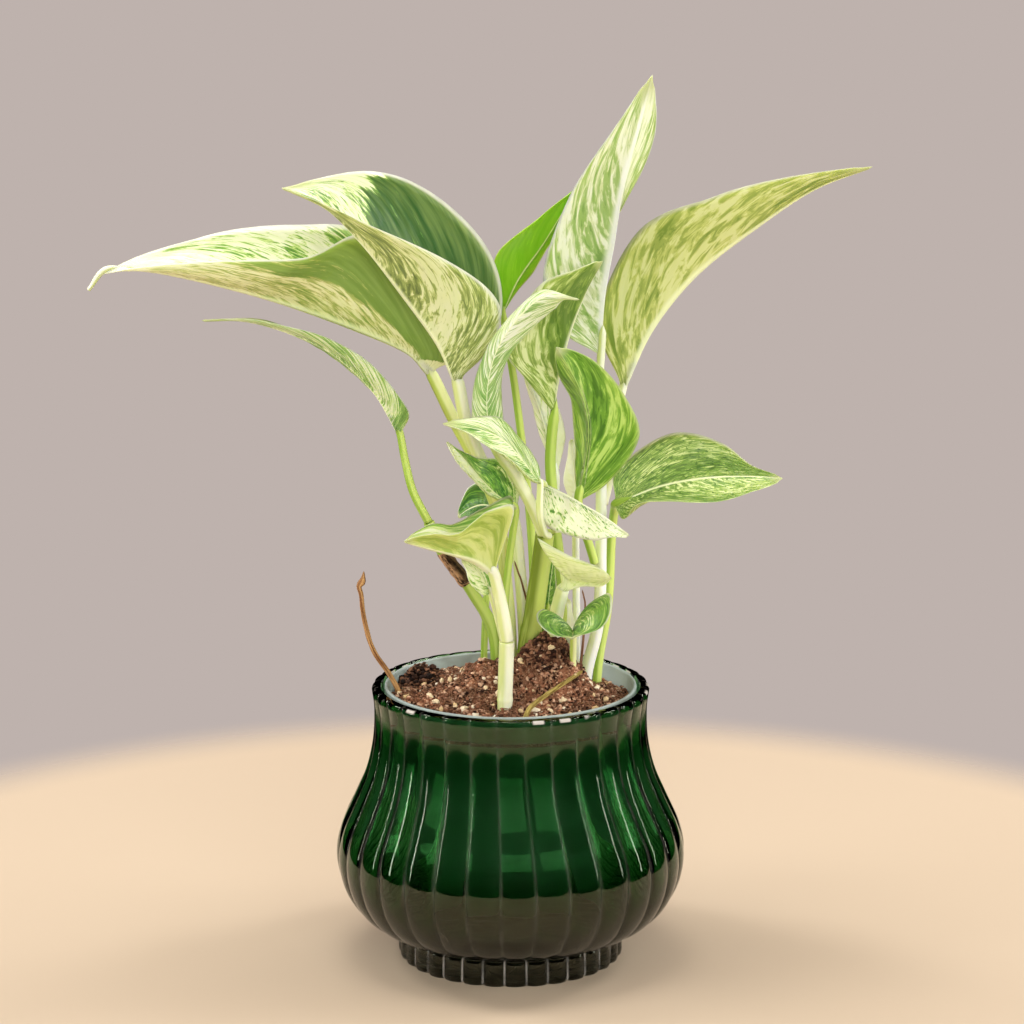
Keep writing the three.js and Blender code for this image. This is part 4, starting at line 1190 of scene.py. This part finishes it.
def scatter(name, count, sizes, finish, seed, sink=0.2, squash=0.7, heap=None):
    """count small lumps lying on the potting mix, sunk into it by the share sink and flattened
    by squash. heap piles them up instead as (x, y, spread, height)."""
    draw = random.Random(seed)
    whole = bmesh.new()
    whole.faces.layers.float.new("tone")
    for start in range(0, count, BATCH):
        mesh = bmesh.new()
        mesh.faces.layers.float.new("tone")
        for _ in range(min(BATCH, count - start)):
            add_lump(mesh, draw, sizes, sink, squash, heap)
        gather(whole, mesh)
    finish_piece(name, whole, [finish])


def make_fibres():
    """Thin dark and tan fibres on the potting mix."""
    draw = random.Random(31)
    whole = new_bmesh()
    for _ in range(FIBRES):
        distance, turn = 31 * math.sqrt(draw.random()), FULL_TURN * draw.random()
        x, y = distance * math.cos(turn), distance * math.sin(turn)
        heading, length = FULL_TURN * draw.random(), draw.uniform(1.2, 4.5)
        points = []
        for step in range(4):
            share = step / 3 - 0.5
            px = x + math.cos(heading + share) * length * share
            py = y + math.sin(heading + share) * length * share
            if math.hypot(px, py) > SOIL_RADIUS - 0.6:
                continue
            lift = 0.6 + draw.random() * (0.5 - abs(share))
            points.append((px, py, soil_height(px, py) + lift))
        if len(points) < 3:
            continue
        mesh = new_bmesh()
        rod(mesh, points, lambda share: FIBRE_GIRTH, sides=5, steps=5, round_tip=False)
        gather(whole, mesh)
    finish = dry_finish("fibre", srgb(84, 48, 32), srgb(196, 142, 106))
    finish_piece("soil_fibres", whole, [finish])


def make_floor():
    """A plain pale round floor whose edge fades into the background."""
    f = Finish("floor")
    middle = (0, -FLOOR_FORWARD, 0)
    far = f.node("ShaderNodeVectorMath", {"operation": "DISTANCE"}, {0: f.place(), 1: middle}, output=1)
    pale = f.shader(Base_Color=srgb(198, 178, 153), Roughness=0.6, Specular_IOR_Level=0.3)
    clear = f.node("ShaderNodeBsdfTransparent")
    shader = f.node("ShaderNodeMixShader", inputs={0: far.ramp(*FLOOR_FADE), 1: pale, 2: clear})
    mesh = bmesh.new()
    bmesh.ops.create_circle(mesh, cap_ends=True, segments=FLOOR_STEPS, radius=FLOOR_FADE[1])
    bmesh.ops.translate(mesh, vec=middle, verts=mesh.verts)
    data = bpy.data.meshes.new("floor")
    mesh.to_mesh(data)
    mesh.free()
    floor = bpy.data.objects.new("floor", data)
    data.materials.append(f.done(shader))
    scene.collection.objects.link(floor)


def area_light(name, place, target, size, power, colour=(1, 1, 1), mirrored=True, lights=True):
    """A lamp that is mirrored in shiny pieces, or lights them, or both."""
    light = bpy.data.lights.new(name, "AREA")
    light.shape = "RECTANGLE"
    light.size, light.size_y = size
    light.energy = power
    light.color = colour
    lamp = bpy.data.objects.new(name, light)
    lamp.location = place
    lamp.rotation_euler = (Vector(target) - Vector(place)).to_track_quat("-Z", "Y").to_euler()
    lamp.visible_glossy = mirrored
    lamp.visible_diffuse = lights
    lamp.visible_transmission = lights
    scene.collection.objects.link(lamp)


def make_light():
    world = bpy.data.worlds.new("studio")
    scene.world = world
    world.use_nodes = True
    backdrop = world.node_tree.nodes["Background"]
    backdrop.inputs["Color"].default_value = srgb(190, 178, 173)
    backdrop.inputs["Strength"].default_value = 1.0
    # Only the lamps and the floor are mirrored in the glass.
    world.cycles_visibility.glossy = False
    middle = (0, 0, 0.13)
    area_light("top", (-0.1, 0.1, 1.5), middle, (0.7, 0.7), 11.5, (1.0, 0.99, 0.96))
    area_light("left", (-1.05, 0.35, 1.15), middle, (0.35, 0.35), 7, mirrored=False)
    area_light("right", (1.05, 0.35, 1.15), middle, (0.35, 0.35), 7, mirrored=False)
    area_light("glint_left", (-1.05, 0.35, 1.15), middle, (0.8, 0.5), 10, lights=False)
    area_light("glint_right", (1.05, 0.35, 1.15), middle, (0.8, 0.5), 10, lights=False)
    area_light("low_left", (-1.2, -0.15, 0.3), (0, 0, 0.05), (0.07, 0.6), 1.2)
    area_light("low_right", (1.2, 0.0, 0.3), (0, 0, 0.05), (0.07, 0.6), 1.0)
    area_light("side_left", (-1.0, -0.3, 0.3), (0, 0, 0.05), (0.4, 0.4), 4, mirrored=False)
    area_light("side_right", (1.0, 0.0, 0.3), (0, 0, 0.05), (0.4, 0.4), 3.5, mirrored=False)
    area_light("front", (0.3, -1.6, 0.6), middle, (1.2, 0.8), 16.5, (0.92, 1.0, 1.0), mirrored=False)
    scene.view_settings.view_transform = "Standard"
    scene.view_settings.exposure = 0.0


def make_camera():
    data = bpy.data.cameras.new("camera")
    data.lens = CAMERA_LENS
    data.sensor_width = CAMERA_SENSOR
    data.clip_start = 0.01
    camera = bpy.data.objects.new("camera", data)
    camera.location = Vector(CAMERA_PLACE) * MM
    camera.rotation_euler = (math.radians(90 - CAMERA_PITCH), 0, 0)
    scene.collection.objects.link(camera)
    scene.camera = camera


make_camera()
make_glass_pot()
make_nursery_pot()
make_soil()
scatter(
    "soil_crumbs", 7000, (0.2, 0.72),
    crumb_finish("crumbs", srgb(38, 20, 14), srgb(176, 118, 88), srgb(240, 194, 160)),
    seed=11, sink=0.0, squash=0.9)
scatter(
    "perlite", 210, (0.5, 1.4),
    crumb_finish("perlite", srgb(214, 182, 134), srgb(244, 222, 184), srgb(253, 245, 226)),
    seed=12, sink=0.0, squash=1.0)
scatter(
    "soil_mound_crumbs", 1400, (0.35, 1.0),
    crumb_finish("mound_crumbs", srgb(38, 22, 16), srgb(100, 60, 44), srgb(196, 140, 106)),
    seed=47, squash=0.9, heap=(11, 1.5, 9, 1.6))
scatter(
    "soil_clump", 910, (0.35, 1.1),
    crumb_finish("dark_crumbs", srgb(26, 16, 12), srgb(74, 48, 36), srgb(156, 108, 80)),
    seed=13, heap=(-25.5, 12.5, 7, 5))
make_fibres()
make_vines()
make_dried()
make_sheath()
make_wisps()
for leaf in LEAVES:
    make_leaf(leaf)
make_floor()
make_light()
